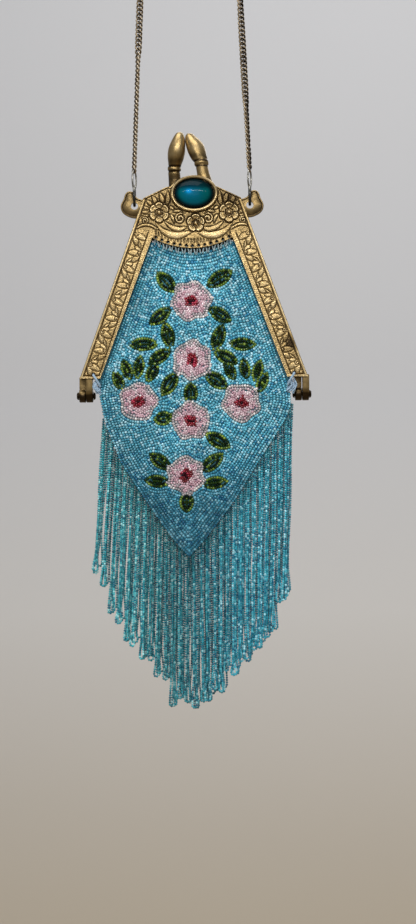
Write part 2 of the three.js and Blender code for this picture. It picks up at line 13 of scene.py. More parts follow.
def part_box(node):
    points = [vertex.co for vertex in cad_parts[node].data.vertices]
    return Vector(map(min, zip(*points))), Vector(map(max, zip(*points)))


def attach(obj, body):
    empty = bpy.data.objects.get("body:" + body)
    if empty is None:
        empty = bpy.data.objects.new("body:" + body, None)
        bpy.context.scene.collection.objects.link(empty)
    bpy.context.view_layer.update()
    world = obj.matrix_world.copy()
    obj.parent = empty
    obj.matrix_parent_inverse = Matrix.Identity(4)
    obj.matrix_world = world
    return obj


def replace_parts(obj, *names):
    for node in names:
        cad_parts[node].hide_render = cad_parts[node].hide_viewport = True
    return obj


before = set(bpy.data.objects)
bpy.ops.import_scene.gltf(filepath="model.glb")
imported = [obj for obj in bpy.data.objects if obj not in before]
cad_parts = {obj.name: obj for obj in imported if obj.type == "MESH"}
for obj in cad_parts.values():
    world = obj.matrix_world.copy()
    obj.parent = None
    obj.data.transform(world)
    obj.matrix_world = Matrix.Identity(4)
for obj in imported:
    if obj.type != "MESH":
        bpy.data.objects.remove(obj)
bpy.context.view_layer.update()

# The bag's own origin: on the hinge axis, midway between the rivets
LEFT_PIN = np.array(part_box("hinge_pin_left"))
RIGHT_PIN = np.array(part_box("hinge_pin_right"))
HINGE = (LEFT_PIN[0] + RIGHT_PIN[1]) / 2
MM = 0.001
SEED = 1926
CREASE = math.radians(50)

# Frame outline, as in the solids
FOOT_Z = 9.3
FOOT_OUTER = 62
FOOT_INNER = 50.8
SHOULDER = np.array([26.5, 106.8])
BROW = np.array([13.6, 112.9])
CORNER = np.array([21.9, 85.4])
LOWER_EDGE_Z = 79.7
FACE_Y = -6.5
PLATE_BACK_Y = -4.5
PARTING_Y = -0.2
RIM = 1.8

# Sewing holes and foot holes
SEWING_COUNT = 13
SEWING_PITCH = 3.3
SEWING_RADIUS = 0.75
SEWING_INSET = 1.25
HOLE_SIDES = 16
FOOT_HOLE = (54.4, 11.4)
FOOT_HOLE_RADIUS = 0.8
# Radius of the threads, the thinnest and the thickest of the sewing thread
SEWING_THREAD = (0.28, 0.44)
CORNER_THREAD = 0.66
CORNER_LOOP_THREAD = 0.4
CORNER_LOOPS = 14

# Bezel, stone, hinge tabs, rivets
BEZEL = {"x": 1.2, "z": 108.9, "a": 12.8, "b": 9.9, "wall": 1.8}
BEZEL_SECTIONS = 120
# Profile of the bezel's wall: place across it and depth
BEZEL_PROFILE = [
    (0.9, -6.2), (0.98, -7.4), (0.95, -8.6), (0.7, -9.35), (0.25, -9.8), (-0.3, -9.75),
    (-0.7, -9.3), (-0.88, -8.6), (-0.9, -6.6),
]
STONE = {"gap": 0.3, "base": -6.8, "girdle": 1.5, "rise": 3.8}
STONE_SIDES = 96
STONE_LEVELS = 26
# What the dome's last ring leaves open, in radians
STONE_TOP = 0.03
STONE_RIM = np.array([0.0, 0.006, 0.008])
STONE_TEAL = np.array([0.001, 0.080, 0.112])
STONE_GREEN = np.array([0.0, 0.072, 0.062])
# Colour of the stone's painted glint
STONE_GLINT = np.array([0.0, 0.18, 0.5])
TABS_X = ((-58.8, -55.2), (59.1, 62.7))
TAB_RADIUS = 3.5
TAB_TOP = 10.5
TAB_FRONT = -5.5
TAB_REAR = -0.5
# Outline of a tab's block in Y and Z, the arc of its barrel, and the point its ends shrink towards
TAB_BLOCK = [(TAB_REAR, TAB_TOP), (TAB_FRONT, TAB_TOP), (TAB_FRONT, 3.4), (-5.2, 1.6), (-4.5, 0.0)]
TAB_ARC = (math.radians(200), math.radians(458))
TAB_MIDDLE = np.array([-2.0, 2.0])
TAB_SHRINK = 0.94
TAB_ROUND = 0.3
PIN = {"radius": 1.2, "head": 2.1, "head_length": 1.1, "inner": 54.9, "outer": 63.0}
PIN_SIDES = 28
PIN_PATINA = -0.3

# Clasp fingers: x, y, z and radius of each section from the root to the tip
FINGER_RIGHT = [
    (9.2, -2.9, 111.5, 3.6), (6.9, -4.4, 117.6, 3.5), (5.7, -3.6, 123.4, 3.3), (5.4, -3.1, 125.8, 3.9),
    (4.8, -2.6, 128.4, 3.9), (3.7, -1.7, 131.0, 4.5), (2.1, -0.7, 135.0, 4.7), (-0.1, 0.0, 139.0, 3.6),
    (-1.5, 0.0, 142.0, 2.1), (-1.95, 0.0, 143.2, 0.4),
]
FINGER_LEFT = [
    (-9.2, 2.8, 111.5, 3.6), (-9.4, 4.4, 117.5, 3.4), (-9.7, 3.7, 122.0, 3.3), (-9.6, 3.3, 124.2, 3.7),
    (-9.3, 2.8, 126.6, 3.6), (-8.8, 1.7, 130.0, 4.4), (-8.1, 0.7, 134.2, 4.65), (-7.0, 0.0, 139.2, 3.6),
    (-6.3, 0.0, 142.8, 2.1), (-6.1, 0.0, 144.0, 0.4),
]
BANDS_RIGHT = (124.5, 127.4)
BANDS_LEFT = (122.9, 125.5)

# Chain ears
EAR = {"y": 1.8, "thickness": 2.4, "hole_x": 31.6, "hole_z": 103.8, "hole_radius": 2.0}
# Their levels from front to back: depth, inset and patina
EAR_LEVELS = [
    (0.0, 1.35, 0.18), (0.25, 1.1, -0.3), (0.22, 0.85, -0.2), (0.02, 0.6, 0.3), (0.15, 0.15, 0.25),
    (0.5, 0.0, 0.0), (1.9, 0.0, -0.1), (2.4, 0.5, 0.0),
]
# How far the lobes run together, the outline's offset and its step
EAR_BLEND = 1.2
EAR_OFFSET = 0.25
EAR_STEP = 0.6
# Their lobes on the right: x, z and radius
EAR_LOBES = [(34.0, 109.2, 3.0), (34.7, 103.4, 4.6), (31.2, 102.4, 5.2), (27.4, 102.6, 4.4)]

# Relief of the crosspiece: x, z, radius, petals and height
ROSETTES = [(-17.9, 99.0, 5.9, 6, 1.4), (1.9, 93.2, 5.3, 5, 1.5), (20.0, 98.9, 5.9, 6, 1.6)]
MIRROR_X = 1.0

# Relief strokes and the vine on the legs
LEAF_FALL = 0.5
BAND_FALL = 0.16
GROUND = 0.36
GROOVE_REACH = 1.2
GROOVE_WIDTH = 0.3
GROOVE_CUT = 0.75
LEG_START = np.array([FOOT_OUTER, FOOT_Z])
LEG_ALONG = (SHOULDER - LEG_START) / np.linalg.norm(SHOULDER - LEG_START)
LEG_INTO = np.array([-LEG_ALONG[1], LEG_ALONG[0]])
INNER_START = np.array([FOOT_INNER, FOOT_Z])
INNER_ALONG = (CORNER - INNER_START) / np.linalg.norm(CORNER - INNER_START)
INNER_OUT = np.array([INNER_ALONG[1], -INNER_ALONG[0]])
VINE_STEP = 9.4
VINE_FIRST = 8.6
VINE_LEAVES = 9
VINE_MIDDLE = 5.5
VINE_SWING = 2.7
# Lobes of a leaf on the vine, the lowest first: degrees from straight across, length and width
VINE_FAN = [(-112, 5.2, 3.2), (44, 4.9, 3.0), (-64, 6.0, 3.4), (-12, 6.2, 3.4)]
LOBE_FALL = 0.34
RIM_WIDTH = 1.5
FOOT_BAR = 1.3
# Plain inner border of the legs: width at the foot and at the top, on the left and on the right
BORDER_LEFT = (1.0, 2.8)
BORDER_RIGHT = (2.3, 2.4)

# Face of the front half
FLUTE_PITCH = 1.75
LEG_COLUMNS = 54
LEG_ROWS = 330
MIDDLE_COLUMNS = 190
CROSS_ROWS = 118
# Tarnished patches: x, z, radius and how much they darken
TARNISH = [
    (53.4, 27.8, 4.2, 0.45), (22.0, 106.0, 3.6, 0.35), (-52.0, 22.0, 3.0, 0.12), (-13.0, 105.5, 4.5, 0.14),
    (15.0, 106.5, 4.0, 0.2), (1.0, 98.6, 4.0, 0.12),
]

# Pouch panels: height, reach to the left and right of the middle, as in the solids, and bulge by height
PANEL_SIDE = [
    (78.5, 24.5, 24.5), (9.3, 53.4, 53.4), (0, 52.2, 53.2), (-6, 51.0, 53.4), (-14, 49.6, 50.2),
    (-36, 41.4, 36.0), (-58, 27.4, 22.2), (-78, 13.6, 6.8), (-84.5, 8.0, 0.8), (-88.6, 4.3, -3.1),
]
PANEL_BULGE = [(74, 0), (66, 2.2), (45, 5.6), (10, 8.2), (-18, 8.8), (-48, 6.2), (-72, 2.8), (-88.6, 0.4)]
SEAM_FROM = -6
TIP_X = -3.7
PANEL_LAP = 2.6
SEAM_DEPTH = 2.55
FRAMED_DEPTH = 4.2
PUFF_POWER = 2.4
CLOTH_FACE = 1.2
CLOTH_WALL = 0.6
CLOTH_INSET = 1.0
CLOTH_TOP_GAP = 0.9
CLOTH_GRID = (90, 60)
LINING_COLUMNS = 41
LINING_INSET = 0.6
LINING_THICKNESS = 0.25
LINING_ROWS = ((-4.4, -2.3), (-2.0, -2.9), (0.6, -4.0), (3.6, -4.2))

# Beadwork
ROW_PITCH = 1.62
BEAD_PITCH = 1.4
BEAD_RADIUS = 0.86
BEAD_LENGTH = 1.36
BEAD_SIDES = 5
# How beads vary: tilt, and the least and most of their length and radius
BEAD_TILT = 0.07
BEAD_LENGTHS = (0.92, 1.05)
BEAD_RADII = (0.9, 1.06)
# Most beads in a piece, and the least space between the middles of two beads
FRONT_MOST = 5000
BACK_MOST = 6000
EDGE_SPACE = 0.8
PETAL_SPACE = 0.9
LEAF_SPACE = 1.02
VEIN_SPACE = 0.98
WATER_SPACE = 1.04
# Single beads in the gaps: how far in from the edge, and the space they need in a flower and elsewhere
GAP_EDGE = 0.55
GAP_SPACE_PETAL = 0.96
GAP_SPACE = 1.12
# Grid on which the rows are traced
GRID_STEP = 0.4
GRID_X = (-54, 54.1)
GRID_Z = (-90, 86.1)
ROW_JITTER = 0.06
# Outlines of a bead: place along it and radius, as shares
BARREL = ((-0.5, 0.42), (-0.26, 0.97), (0.26, 0.97), (0.5, 0.42))
SHORT_BARREL = ((-0.48, 0.6), (0.0, 1.0), (0.48, 0.6))
# Beaded area: half its upper edge, and gaps under the crosspiece and from the seam
TOP_HALF = 20.8
TOP_GAP = 2.2
CORNER_GAP = 0.6
EDGE_INSET = 0.4
# Height down a leg, and the gap there between its inner edge and the beads
LEG_GAPS = ((83.0, 0.3), (40.0, 0.4), (24.0, 0.7), (FOOT_Z, 0.9))
MOTIF_ROWS = 2
PETAL_PITCH = 1.32
PETAL_JITTER = 0.14
PETAL_TURN = 0.8
CRIMSON_REACH = 3.4
HEART_REACH = 1.2
# Beaded flowers: x, z, radius, lobes and turn of the lobes
FLOWERS = [
    (-0.9, 50.7, 11.4, 6, 0.2), (-0.7, 18.4, 11.1, 6, 0.5), (-30.2, -3.7, 10.8, 5, 0.1),
    (25.6, -4.8, 10.8, 5, 0.9), (-1.8, -14.4, 10.7, 5, 0.4), (-4.9, -43.8, 10.7, 6, 0.6),
]
# Beaded leaves: tip x and z, root x and z, width
LEAVES = [
    (-19.6, 67.0, -9.6, 55.4, 6.4), (21.6, 67.4, 7.4, 58.4, 6.6), (-24.0, 37.8, -11.8, 47.2, 5.8),
    (20.8, 39.0, 8.2, 47.0, 5.8), (-15.6, 39.6, -12.0, 24.4, 5.8), (-35.6, 27.5, -18.4, 27.4, 5.8),
    (-24.6, 16.6, -12.0, 24.4, 5.6), (16.2, 38.2, 10.8, 22.8, 5.8), (34.4, 26.8, 18.4, 27.0, 5.6),
    (24.2, 16.2, 10.8, 23.4, 5.8), (-43.6, 13.6, -38.4, 2.2, 4.8), (-38.6, 19.6, -34.0, 7.8, 4.8),
    (-28.6, 21.6, -30.8, 8.2, 5.0), (-19.6, 17.6, -25.4, 6.6, 5.2), (17.2, 17.8, 22.2, 7.2, 4.8),
    (26.6, 19.4, 28.8, 7.6, 4.8), (36.6, 18.8, 32.6, 6.0, 4.8), (40.0, 12.0, 34.0, 0.0, 4.8),
    (-17.4, -0.8, -8.8, 12.0, 6.2), (18.2, 3.0, 6.0, 11.6, 6.2), (-1.6, 6.6, -1.8, -5.6, 6.0),
    (-22.0, -13.8, -11.4, -12.0, 6.0), (19.4, -29.2, 5.8, -21.2, 6.2), (-24.6, -31.8, -13.0, -40.4, 5.8),
    (15.6, -32.0, 3.4, -42.2, 6.0), (-27.6, -46.2, -13.2, -47.6, 5.4), (18.2, -47.2, 3.2, -48.9, 5.4),
    (-4.7, -64.2, -4.5, -52.6, 6.2),
]
LEAF_FULLNESS = 1.29
# Sky blue beads; the palest of them stand in for glints: painted highlights
WATER = [(0.07, 0.37, 0.52), (0.12, 0.48, 0.63), (0.22, 0.59, 0.73), (0.42, 0.73, 0.84), (0.03, 0.24, 0.42)]
WATER_SHARE = (0.22, 0.26, 0.24, 0.18, 0.1)
PETAL = [(0.50, 0.33, 0.38), (0.57, 0.42, 0.46), (0.42, 0.235, 0.29), (0.68, 0.57, 0.60)]
PETAL_SHARE = (0.35, 0.3, 0.2, 0.15)
SILVER = [(0.48, 0.44, 0.44), (0.31, 0.29, 0.30), (0.68, 0.64, 0.63)]
SILVER_SHARE = (0.5, 0.3, 0.2)
BLUSH = [(0.44, 0.40, 0.42), (0.30, 0.26, 0.28), (0.50, 0.33, 0.38), (0.57, 0.42, 0.46)]
BLUSH_SHARE = (0.25, 0.2, 0.3, 0.25)
CRIMSON = [(0.20, 0.006, 0.016), (0.12, 0.004, 0.010), (0.34, 0.02, 0.05)]
CRIMSON_SHARE = (0.45, 0.35, 0.2)
HEART = (0.025, 0.003, 0.006)
LIME = [(0.10, 0.17, 0.011), (0.05, 0.095, 0.006), (0.19, 0.28, 0.026), (0.012, 0.030, 0.004)]
LIME_SHARE = (0.34, 0.27, 0.13, 0.26)
BOTTLE = [(0.003, 0.010, 0.003), (0.006, 0.026, 0.006), (0.002, 0.005, 0.002), (0.07, 0.14, 0.012)]
BOTTLE_SHARE = (0.48, 0.22, 0.24, 0.06)
VEIN_SHARE = (0.12, 0.18, 0.04, 0.66)
# Rows of a leaf: how far in from its outline, colours and their shares
LEAF_ROWS = ((0.62, LIME, LIME_SHARE), (1.95, BOTTLE, BOTTLE_SHARE))
DARKEST = 0.06
# Teal fringe beads; the palest of them stand in for glints: painted highlights
TEAL = [(0.024, 0.26, 0.34), (0.05, 0.38, 0.48), (0.11, 0.51, 0.61), (0.015, 0.17, 0.27), (0.42, 0.74, 0.82)]
TEAL_SHARE = (0.26, 0.28, 0.22, 0.14, 0.1)

# Fringe: looped strands, every two gathered to a rope with a third behind the gap beside it
LOOPS = 84
LOOP_LEFT = -49.6
LOOP_RIGHT = 53.2
ROPE_GATHER = 0.4
ROPE_DEPTH = (-1.2, -0.1, 1.4)
# Painted shade on each strand of a rope; the third lies behind the gap
ROPE_SHADE = (1.0, 0.96, 0.62)
# Where the ropes end: x and z from left to right
FRINGE_END = [
    (-56.2, -95.3), (-52.1, -103.2), (-44.8, -123.2), (-39.0, -132.6), (-34.2, -139.0), (-27.8, -145.4),
    (-18.5, -155.3), (-14.2, -168.5), (-7.5, -168.2), (-2.2, -172.0), (3.8, -169.1), (12.9, -162.4),
    (16.0, -153.4), (20.9, -151.3), (28.4, -143.4), (36.4, -137.1), (40.9, -132.0), (44.1, -116.2),
    (48.2, -113.2),
]
LOOP_UNEVEN = 3.0
ROPE_UNEVEN = 2.2
ROOT_TUCK = 1.8
STRAND_PITCH = 1.28
STRAND_RADIUS = 0.76
FAN_LEFT = 0.12
FAN_RIGHT = -0.06
# Half the gap between a loop's two halves, half the width of its end, and how far above it they part
LOOP_GAP = 0.72
LOOP_SPREAD = (1.0, 1.7)
LOOP_PARTING = (8, 24)
# Angle of the halves from side by side, and how far a strand sways
LOOP_TURN = 1.1
LOOP_SWAY = 0.25
STRAND_LENGTH = 1.2
# Light on the strands: in general, less about the tip, and the least and most for one strand
STRAND_SHADE = 0.94
TIP_SHADE = 0.3
TIP_REACH = 24
STRAND_SHADES = (0.8, 1.26)
# Tint of the strands, and what is added to it on the right
FRINGE_TINT = (0.88, 1.02, 0.95)
FRINGE_TINT_RIGHT = (0.0, 0.02, 0.13)
FRINGE_PIECES = 2

# Chain, rings and end links
RING = {"z": 109.45, "half_height": 5.3, "half_width": 3.4, "wire": 0.75}
END_LINK = {"z": 118.4, "half_height": 5.2, "half_width": 2.2, "wire": 0.5}
WIRE_SECTIONS = 56
WIRE_SIDES = 14
CHAIN_FOOT = 124.0
CHAIN_BEND_RADIUS = 24.5
CHAIN_BEND_Z = 280
LINK = {"pitch": 2.4, "half_length": 1.8, "half_width": 1.5, "wire": 0.54, "twist": math.radians(-84)}
LINK_SECTIONS = 22
LINK_SIDES = 8
ROLL_FULL = math.radians(62)
ROLL_EASED = math.radians(54)
# Heights between which the roll changes: on the left, on the right and up to the right bend
ROLL_LEFT = (182, 194)
ROLL_RIGHT = (152, 170)
ROLL_BEND = (195, 212)

# Camera: what lies at the picture's middle, how much it takes in, and from how far
VIEW_CENTRE = (7.2, -36.7)
VIEW_HEIGHT = 505.4
VIEW_DISTANCE = 900
VIEW_ROLL = math.radians(-0.6)

# Stage and lights, in metres
STAGE_FLOOR = -1.5
STAGE_BACK = 3.4
STAGE_FRONT = -4.0
STAGE_SIDE = 5.0
STAGE_TOP = 4.0
COVE_RADIUS = 1.4
# Height where the wall is palest, and its colours from the floor up to there
WALL_PALE = -0.2
WALL_TONES = [(0.0, (0.48, 0.395, 0.275)), (0.6, (0.71, 0.69, 0.66)), (1.0, (0.71, 0.72, 0.745))]
# Lights: name, place and aim from the hinge, size, power, colour, and whether they serve diffuse and gloss
LIGHTS = [
    ("ceiling", (-0.3, -0.7, 1.5), (0, 0, 0), (1.6, 1.0), 22, (1.0, 0.98, 0.95), (True, True)),
    ("tube", (0.05, -0.95, 0.41), (0, 0, 0), (1.2, 0.03), 6, (1.0, 0.99, 0.97), (True, True)),
    ("front", (-0.5, -2.2, 0.1), (0, 0, 0), (1.6, 1.6), 9, (0.97, 0.99, 1.0), (True, False)),
    ("gloss", (-0.1, -2.1, 0.4), (0, 0, 0), (1.0, 0.8), 2.6, (0.98, 0.99, 1.0), (False, True)),
    ("wall_wash", (0.7, 1.2, 2.2), (0.6, 3.4, -0.2), (3.0, 1.0), 39, (1.0, 0.99, 0.98), (True, True)),
    ("rear", (0.4, 1.6, 1.0), (0, 0, 0), (1.4, 1.0), 9, (1.0, 1.0, 1.0), (True, True)),
]
SKY_COLOUR = (0.93, 0.95, 1.0, 1)
SKY_STRENGTH = 0.3

# Materials
BUMP_DISTANCE = 0.0002
WEAVE_SCALE = 900
STAIN_SHARE = 0.42


def place(points):
    return np.asarray(points, float) * MM + HINGE


def smooth(low, high, value):
    t = np.clip((value - low) / (high - low), 0, 1)
    return t * t * (3 - 2 * t)


def bell(offset, width):
    return np.exp(-((offset / width) ** 2))


def turns(count):
    """Even angles round a circle."""
    return 2 * math.pi * np.arange(count) / count


def oval(x, z, a, b, angle):
    """Points of an oval at some angles."""
    return np.stack([x + a * np.cos(angle), z + b * np.sin(angle)], 1)


def unit(vectors):
    return vectors / np.maximum(np.linalg.norm(vectors, axis=1), 1e-6)[:, None]


def flattened(vectors, normals):
    """Vectors without their part along the normals."""
    return vectors - np.sum(vectors * normals, 1)[:, None] * normals


def run_along(line):
    """How far along a line each of its points lies."""
    return np.concatenate([[0], np.cumsum(np.linalg.norm(np.diff(line, axis=0), axis=1))])


def sampled(line, run, at):
    """Points of a line at distances along it."""
    return np.stack([np.interp(at, run, column) for column in line.T], 1)


def with_direction(line, run, at, reach):
    """Points at distances along a line, and its direction at each."""
    return sampled(line, run, at), unit(sampled(line, run, at + reach) - sampled(line, run, at - reach))


def from_table(rows, level, column=1):
    rows = np.array(rows[::-1], float)
    return np.interp(level, rows[:, 0], rows[:, column])


def pick(rng, palette, share, count):
    """Colours for a number of beads, each drawn from a palette and made a little lighter or darker."""
    chosen = np.array(palette)[rng.choice(len(palette), count, p=share)]
    return np.clip(chosen * rng.uniform(0.86, 1.14, (count, 1)), 0, 1)


class Heap:
    """Points and faces gathered into one mesh, with a value or colour for each point."""

    def __init__(self):
        self.points = []
        self.faces = []
        self.values = []
        self.count = 0

    def add(self, points, faces, values=None):
        points = np.asarray(points, float).reshape(-1, 3)
        self.points.append(points)
        self.faces += [np.asarray(group) + self.count for group in faces]
        if values is not None:
            self.values.append(np.broadcast_to(values, (len(points),) + np.shape(values)[1:]))
        self.count += len(points)

    def add_form(self, form, values):
        """Adds the quads and triangles of a bmesh, and frees it."""
        form.verts.index_update()
        points = np.array([v.co for v in form.verts])
        corners = [[v.index for v in f.verts] for f in form.faces]
        groups = [np.array([face for face in corners if len(face) == sides]) for sides in (4, 3)]
        form.free()
        self.add(points, groups, values)

    def make(self, name, material, attribute=None, outward=True, crease=0.0):
        mesh = bpy.data.meshes.new(name)
        points = place(np.concatenate(self.points))
        corners = np.concatenate([group.ravel() for group in self.faces])
        sizes = np.concatenate([np.full(len(group), group.shape[1]) for group in self.faces])
        mesh.vertices.add(len(points))
        mesh.vertices.foreach_set("co", points.ravel())
        mesh.loops.add(len(corners))
        mesh.loops.foreach_set("vertex_index", corners.astype(np.int32))
        mesh.polygons.add(len(sizes))
        starts = np.concatenate([[0], np.cumsum(sizes)[:-1]])
        mesh.polygons.foreach_set("loop_start", starts.astype(np.int32))
        mesh.polygons.foreach_set("use_smooth", np.ones(len(sizes), bool))
        mesh.update(calc_edges=True)
        if self.values:
            values = np.concatenate(self.values).astype(np.float32)
            if values.ndim == 1:
                mesh.attributes.new(attribute, "FLOAT", "POINT").data.foreach_set("value", values)
            else:
                colours = np.concatenate([values, np.ones((len(values), 1), np.float32)], 1)
                layer = mesh.attributes.new(attribute, "FLOAT_COLOR", "POINT")
                layer.data.foreach_set("color", colours.ravel())
        if outward:
            turn_outward(mesh)
        if crease:
            mesh.set_sharp_from_angle(angle=crease)
        return dress(name, mesh, material)


def heap_of(points, faces, values=None):
    heap = Heap()
    heap.add(points, faces, values)
    return heap


def turn_outward(mesh):
    form = bmesh.new()
    form.from_mesh(mesh)
    bmesh.ops.recalc_face_normals(form, faces=form.faces)
    form.to_mesh(mesh)
    form.free()


def dress(name, mesh, material):
    mesh.materials.append(material)
    piece = bpy.data.objects.new(name, mesh)
    bpy.context.scene.collection.objects.link(piece)
    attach(piece, "root")
    return piece


def grid_faces(rows, columns, wrap=False):
    row = np.arange(rows - 1)[:, None]
    column = np.arange(columns if wrap else columns - 1)[None, :]
    following = (column + 1) % columns
    a = row * columns + column
    b = row * columns + following
    return np.stack([a, b, b + columns, a + columns], -1).reshape(-1, 4)


def skin(rings, closed=False):
    """A skin over rings of points: capped at both ends, or closed on itself."""
    rings = np.asarray(rings, float)
    count, sides = rings.shape[:2]
    faces = [grid_faces(count, sides, wrap=True)]
    last = (count - 1) * sides + np.arange(sides)
    if closed:
        first = np.arange(sides)
        faces.append(np.stack([last, np.roll(last, -1), np.roll(first, -1), first], -1))
    else:
        faces.append(np.arange(sides)[None, ::-1])
        faces.append(last[None])
    return rings.reshape(-1, 3), faces


def tube_rings(path, radius, sides, closed=False):
    """Rings round a path, turned along it without twist."""
    path = np.asarray(path, float)
    radius = np.broadcast_to(radius, len(path))
    if closed:
        along = np.roll(path, -1, 0) - np.roll(path, 1, 0)
    else:
        along = np.gradient(path, axis=0)
    along = unit(along)
    across = np.cross(along[0], [0, 1, 0] if abs(along[0][1]) < 0.9 else [1, 0, 0])
    angle = turns(sides)
    rings = []
    for point, forward, size in zip(path, along, radius):
        across = across - forward * (across @ forward)
        across /= np.linalg.norm(across)
        over = np.cross(forward, across)
        rings.append(point + size * (np.cos(angle)[:, None] * across + np.sin(angle)[:, None] * over))
    return np.array(rings)


def tube(path, radius, sides, closed=False):
    return skin(tube_rings(path, radius, sides, closed), closed)


def spline(rows, count):
    """Smooth values through the rows of a table, by cubic stretches between them."""
    rows = np.array(rows, float)
    slope = np.gradient(rows, axis=0)
    at = np.linspace(0, len(rows) - 1, count)
    i = np.minimum(at.astype(int), len(rows) - 2)
    t = (at - i)[:, None]
    rise = rows[i + 1] - rows[i]
    return (
        rows[i]
        + t * slope[i]
        + t**2 * (3 * rise - 2 * slope[i] - slope[i + 1])
        + t**3 * (slope[i] + slope[i + 1] - 2 * rise)
    )


def contour_lines(field, level, xs, zs):
    """Lines where a field over a grid passes through a level, by marching squares."""
    above = field > level
    mixed = above[:-1, :-1].astype(int) + above[1:, :-1] + above[:-1, 1:] + above[1:, 1:]
    spots = {}
    links = {}
    for i, j in np.argwhere((mixed > 0) & (mixed < 4)):
        ends = []
        for row, column, down in ((i, j, 0), (i, j + 1, 1), (i + 1, j, 0), (i, j, 1)):
            far_row, far_column = row + down, column + 1 - down
            if above[row, column] != above[far_row, far_column]:
                share = (level - field[row, column]) / (field[far_row, far_column] - field[row, column])
                x = xs[column] + share * (xs[far_column] - xs[column])
                z = zs[row] + share * (zs[far_row] - zs[row])
                spots[row, column, down] = (x, z)
                ends.append((row, column, down))
        for a, b in zip(ends[0::2], ends[1::2]):
            links.setdefault(a, []).append(b)
            links.setdefault(b, []).append(a)
    lines = []
    unused = dict.fromkeys(sorted(links, key=lambda key: len(links[key])))
    while unused:
        key = next(iter(unused))
        line = []
        while key is not None:
            unused.pop(key, None)
            line.append(spots[key])
            key = next((k for k in links[key] if k in unused), None)
        closed = len(line) > 3 and math.dist(line[0], line[-1]) < 2 * (xs[1] - xs[0])
        lines.append((np.array(line), closed))
    return lines


def resampled(line, closed, pitch):
    """Points at an even pitch along a line, and the line's direction at each."""
    points = np.concatenate([line, line[:1]]) if closed else line
    run = run_along(points)
    count = max(int(round(run[-1] / pitch)), 1)
    return with_direction(points, run, (np.arange(count) + 0.5) * run[-1] / count, 0.5)


def along_line(line, pitch):
    run = run_along(line)
    return with_direction(line, run, np.arange(pitch / 2, run[-1], pitch), pitch / 2)


# Materials

class Look:
    """A material and its nodes."""

    def __init__(self, name):
        self.material = bpy.data.materials.new(name)
        self.material.use_nodes = True
        self.nodes = self.material.node_tree.nodes
        self.where = self.node("TexCoord", {}).outputs["Object"]

    def fill(self, node, inputs):
        """Sets a node's inputs, each to a value or linked from an output."""
        for socket, value in inputs.items():
            if isinstance(value, bpy.types.NodeSocket):
                self.material.node_tree.links.new(value, node.inputs[socket])
            else:
                node.inputs[socket].default_value = value

    def node(self, kind, inputs, **settings):
        node = self.nodes.new("ShaderNode" + kind)
        for key, value in settings.items():
            setattr(node, key, value)
        self.fill(node, inputs)
        return node

    def noise(self, scale, detail):
        return self.node("TexNoise", {"Vector": self.where, "Scale": scale, "Detail": detail}).outputs["Fac"]

    def attribute(self, name, output):
        return self.node("Attribute", {}, attribute_name=name).outputs[output]

    def ramp(self, source, stops):
        node = self.node("ValToRGB", {"Fac": source})
        elements = node.color_ramp.elements
        elements[0].position, elements[-1].position = stops[0][0], stops[-1][0]
        for position, _ in stops[1:-1]:
            elements.new(position)
        for element, (_, colour) in zip(elements, stops):
            element.color = (*colour, 1)
        return node.outputs["Color"]

    def greys(self, source, *stops):
        return self.ramp(source, [(position, (grey,) * 3) for position, grey in stops])

    def bump(self, height, strength):
        inputs = {"Height": height, "Strength": strength, "Distance": BUMP_DISTANCE}
        return self.node("Bump", inputs).outputs["Normal"]

    def made(self, inputs):
        self.fill(self.nodes["Principled BSDF"], inputs)
        return self.material


def brass_material(name, dark, middle, bright, roughness):
    """Antique brass: dark in its recesses and bright where it is rubbed, by a value at each point that also
    carries painted shade and light.
    """
    look = Look(name)
    stained = {0: look.noise(260, 6), 1: STAIN_SHARE, 2: look.attribute("patina_and_shade", "Fac")}
    mixed = look.node("Math", stained, operation="MULTIPLY_ADD").outputs["Value"]
    grain = look.noise(1400, 4)
    return look.made({
        "Base Color": look.ramp(mixed, [(0.2, dark), (0.56, middle), (1.0, bright)]),
        "Roughness": look.greys(grain, (0.2, roughness - 0.08), (0.8, roughness + 0.1)),
        "Metallic": 0.92,
        "Normal": look.bump(grain, 0.16),
    })


def glass_material(name, film, low, high, inputs):
    """Glass with a tint at each point, under an uneven film."""
    look = Look(name)
    rough = look.greys(look.noise(*film), low, high)
    return look.made({"Base Color": look.attribute("tint", "Color"), "Roughness": rough, **inputs})


def bead_material(name, roughness, coat, shine):
    inputs = {"IOR": 1.55, "Coat Weight": coat, "Coat Roughness": 0.06, "Specular IOR Level": shine}
    return glass_material(name, (900, 3), (0.3, roughness), (0.75, roughness + 0.14), inputs)


def stone_material():
    inputs = {"IOR": 1.6, "Specular IOR Level": 0.045}
    return glass_material("stone_glass", (700, 2), (0.3, 0.04), (0.8, 0.12), inputs)


def cloth_material(name, dark, light):
    """Plain woven cloth: two crossing waves raise the threads and vary their colour."""
    look = Look(name)
    yarn = {"Vector": look.where, "Scale": WEAVE_SCALE, "Distortion": 0.6}
    waves = [look.node("TexWave", yarn, bands_direction=way).outputs["Fac"] for way in ("X", "Z")]
    weave = look.node("Math", {0: waves[0], 1: waves[1]}, operation="MULTIPLY").outputs["Value"]
    return look.made({
        "Base Color": look.ramp(weave, [(0.1, dark), (0.9, light)]),
        "Roughness": 0.85,
        "Sheen Weight": 0.3,
        "Normal": look.bump(weave, 0.5),
    })


def thread_material(name, dark, light):
    look = Look(name)
    twist = look.noise(2200, 2)
    return look.made({
        "Base Color": look.ramp(twist, [(0.3, dark), (0.7, light)]),
        "Roughness": 0.7,
        "Sheen Weight": 0.4,
        "Normal": look.bump(twist, 0.4),
    })


def wall_material():
    """Matt, warmer and darker towards the floor."""
    look = Look("stage_paint")
    level = look.node("SeparateXYZ", {"Vector": look.where}).outputs["Z"]
    span = {"Value": level, "From Min": STAGE_FLOOR, "From Max": WALL_PALE}
    height = look.node("MapRange", span).outputs["Result"]
    rough = look.greys(look.noise(90, 4), (0.2, 0.85), (0.8, 0.95))
    return look.made({"Base Color": look.ramp(height, WALL_TONES), "Roughness": rough})


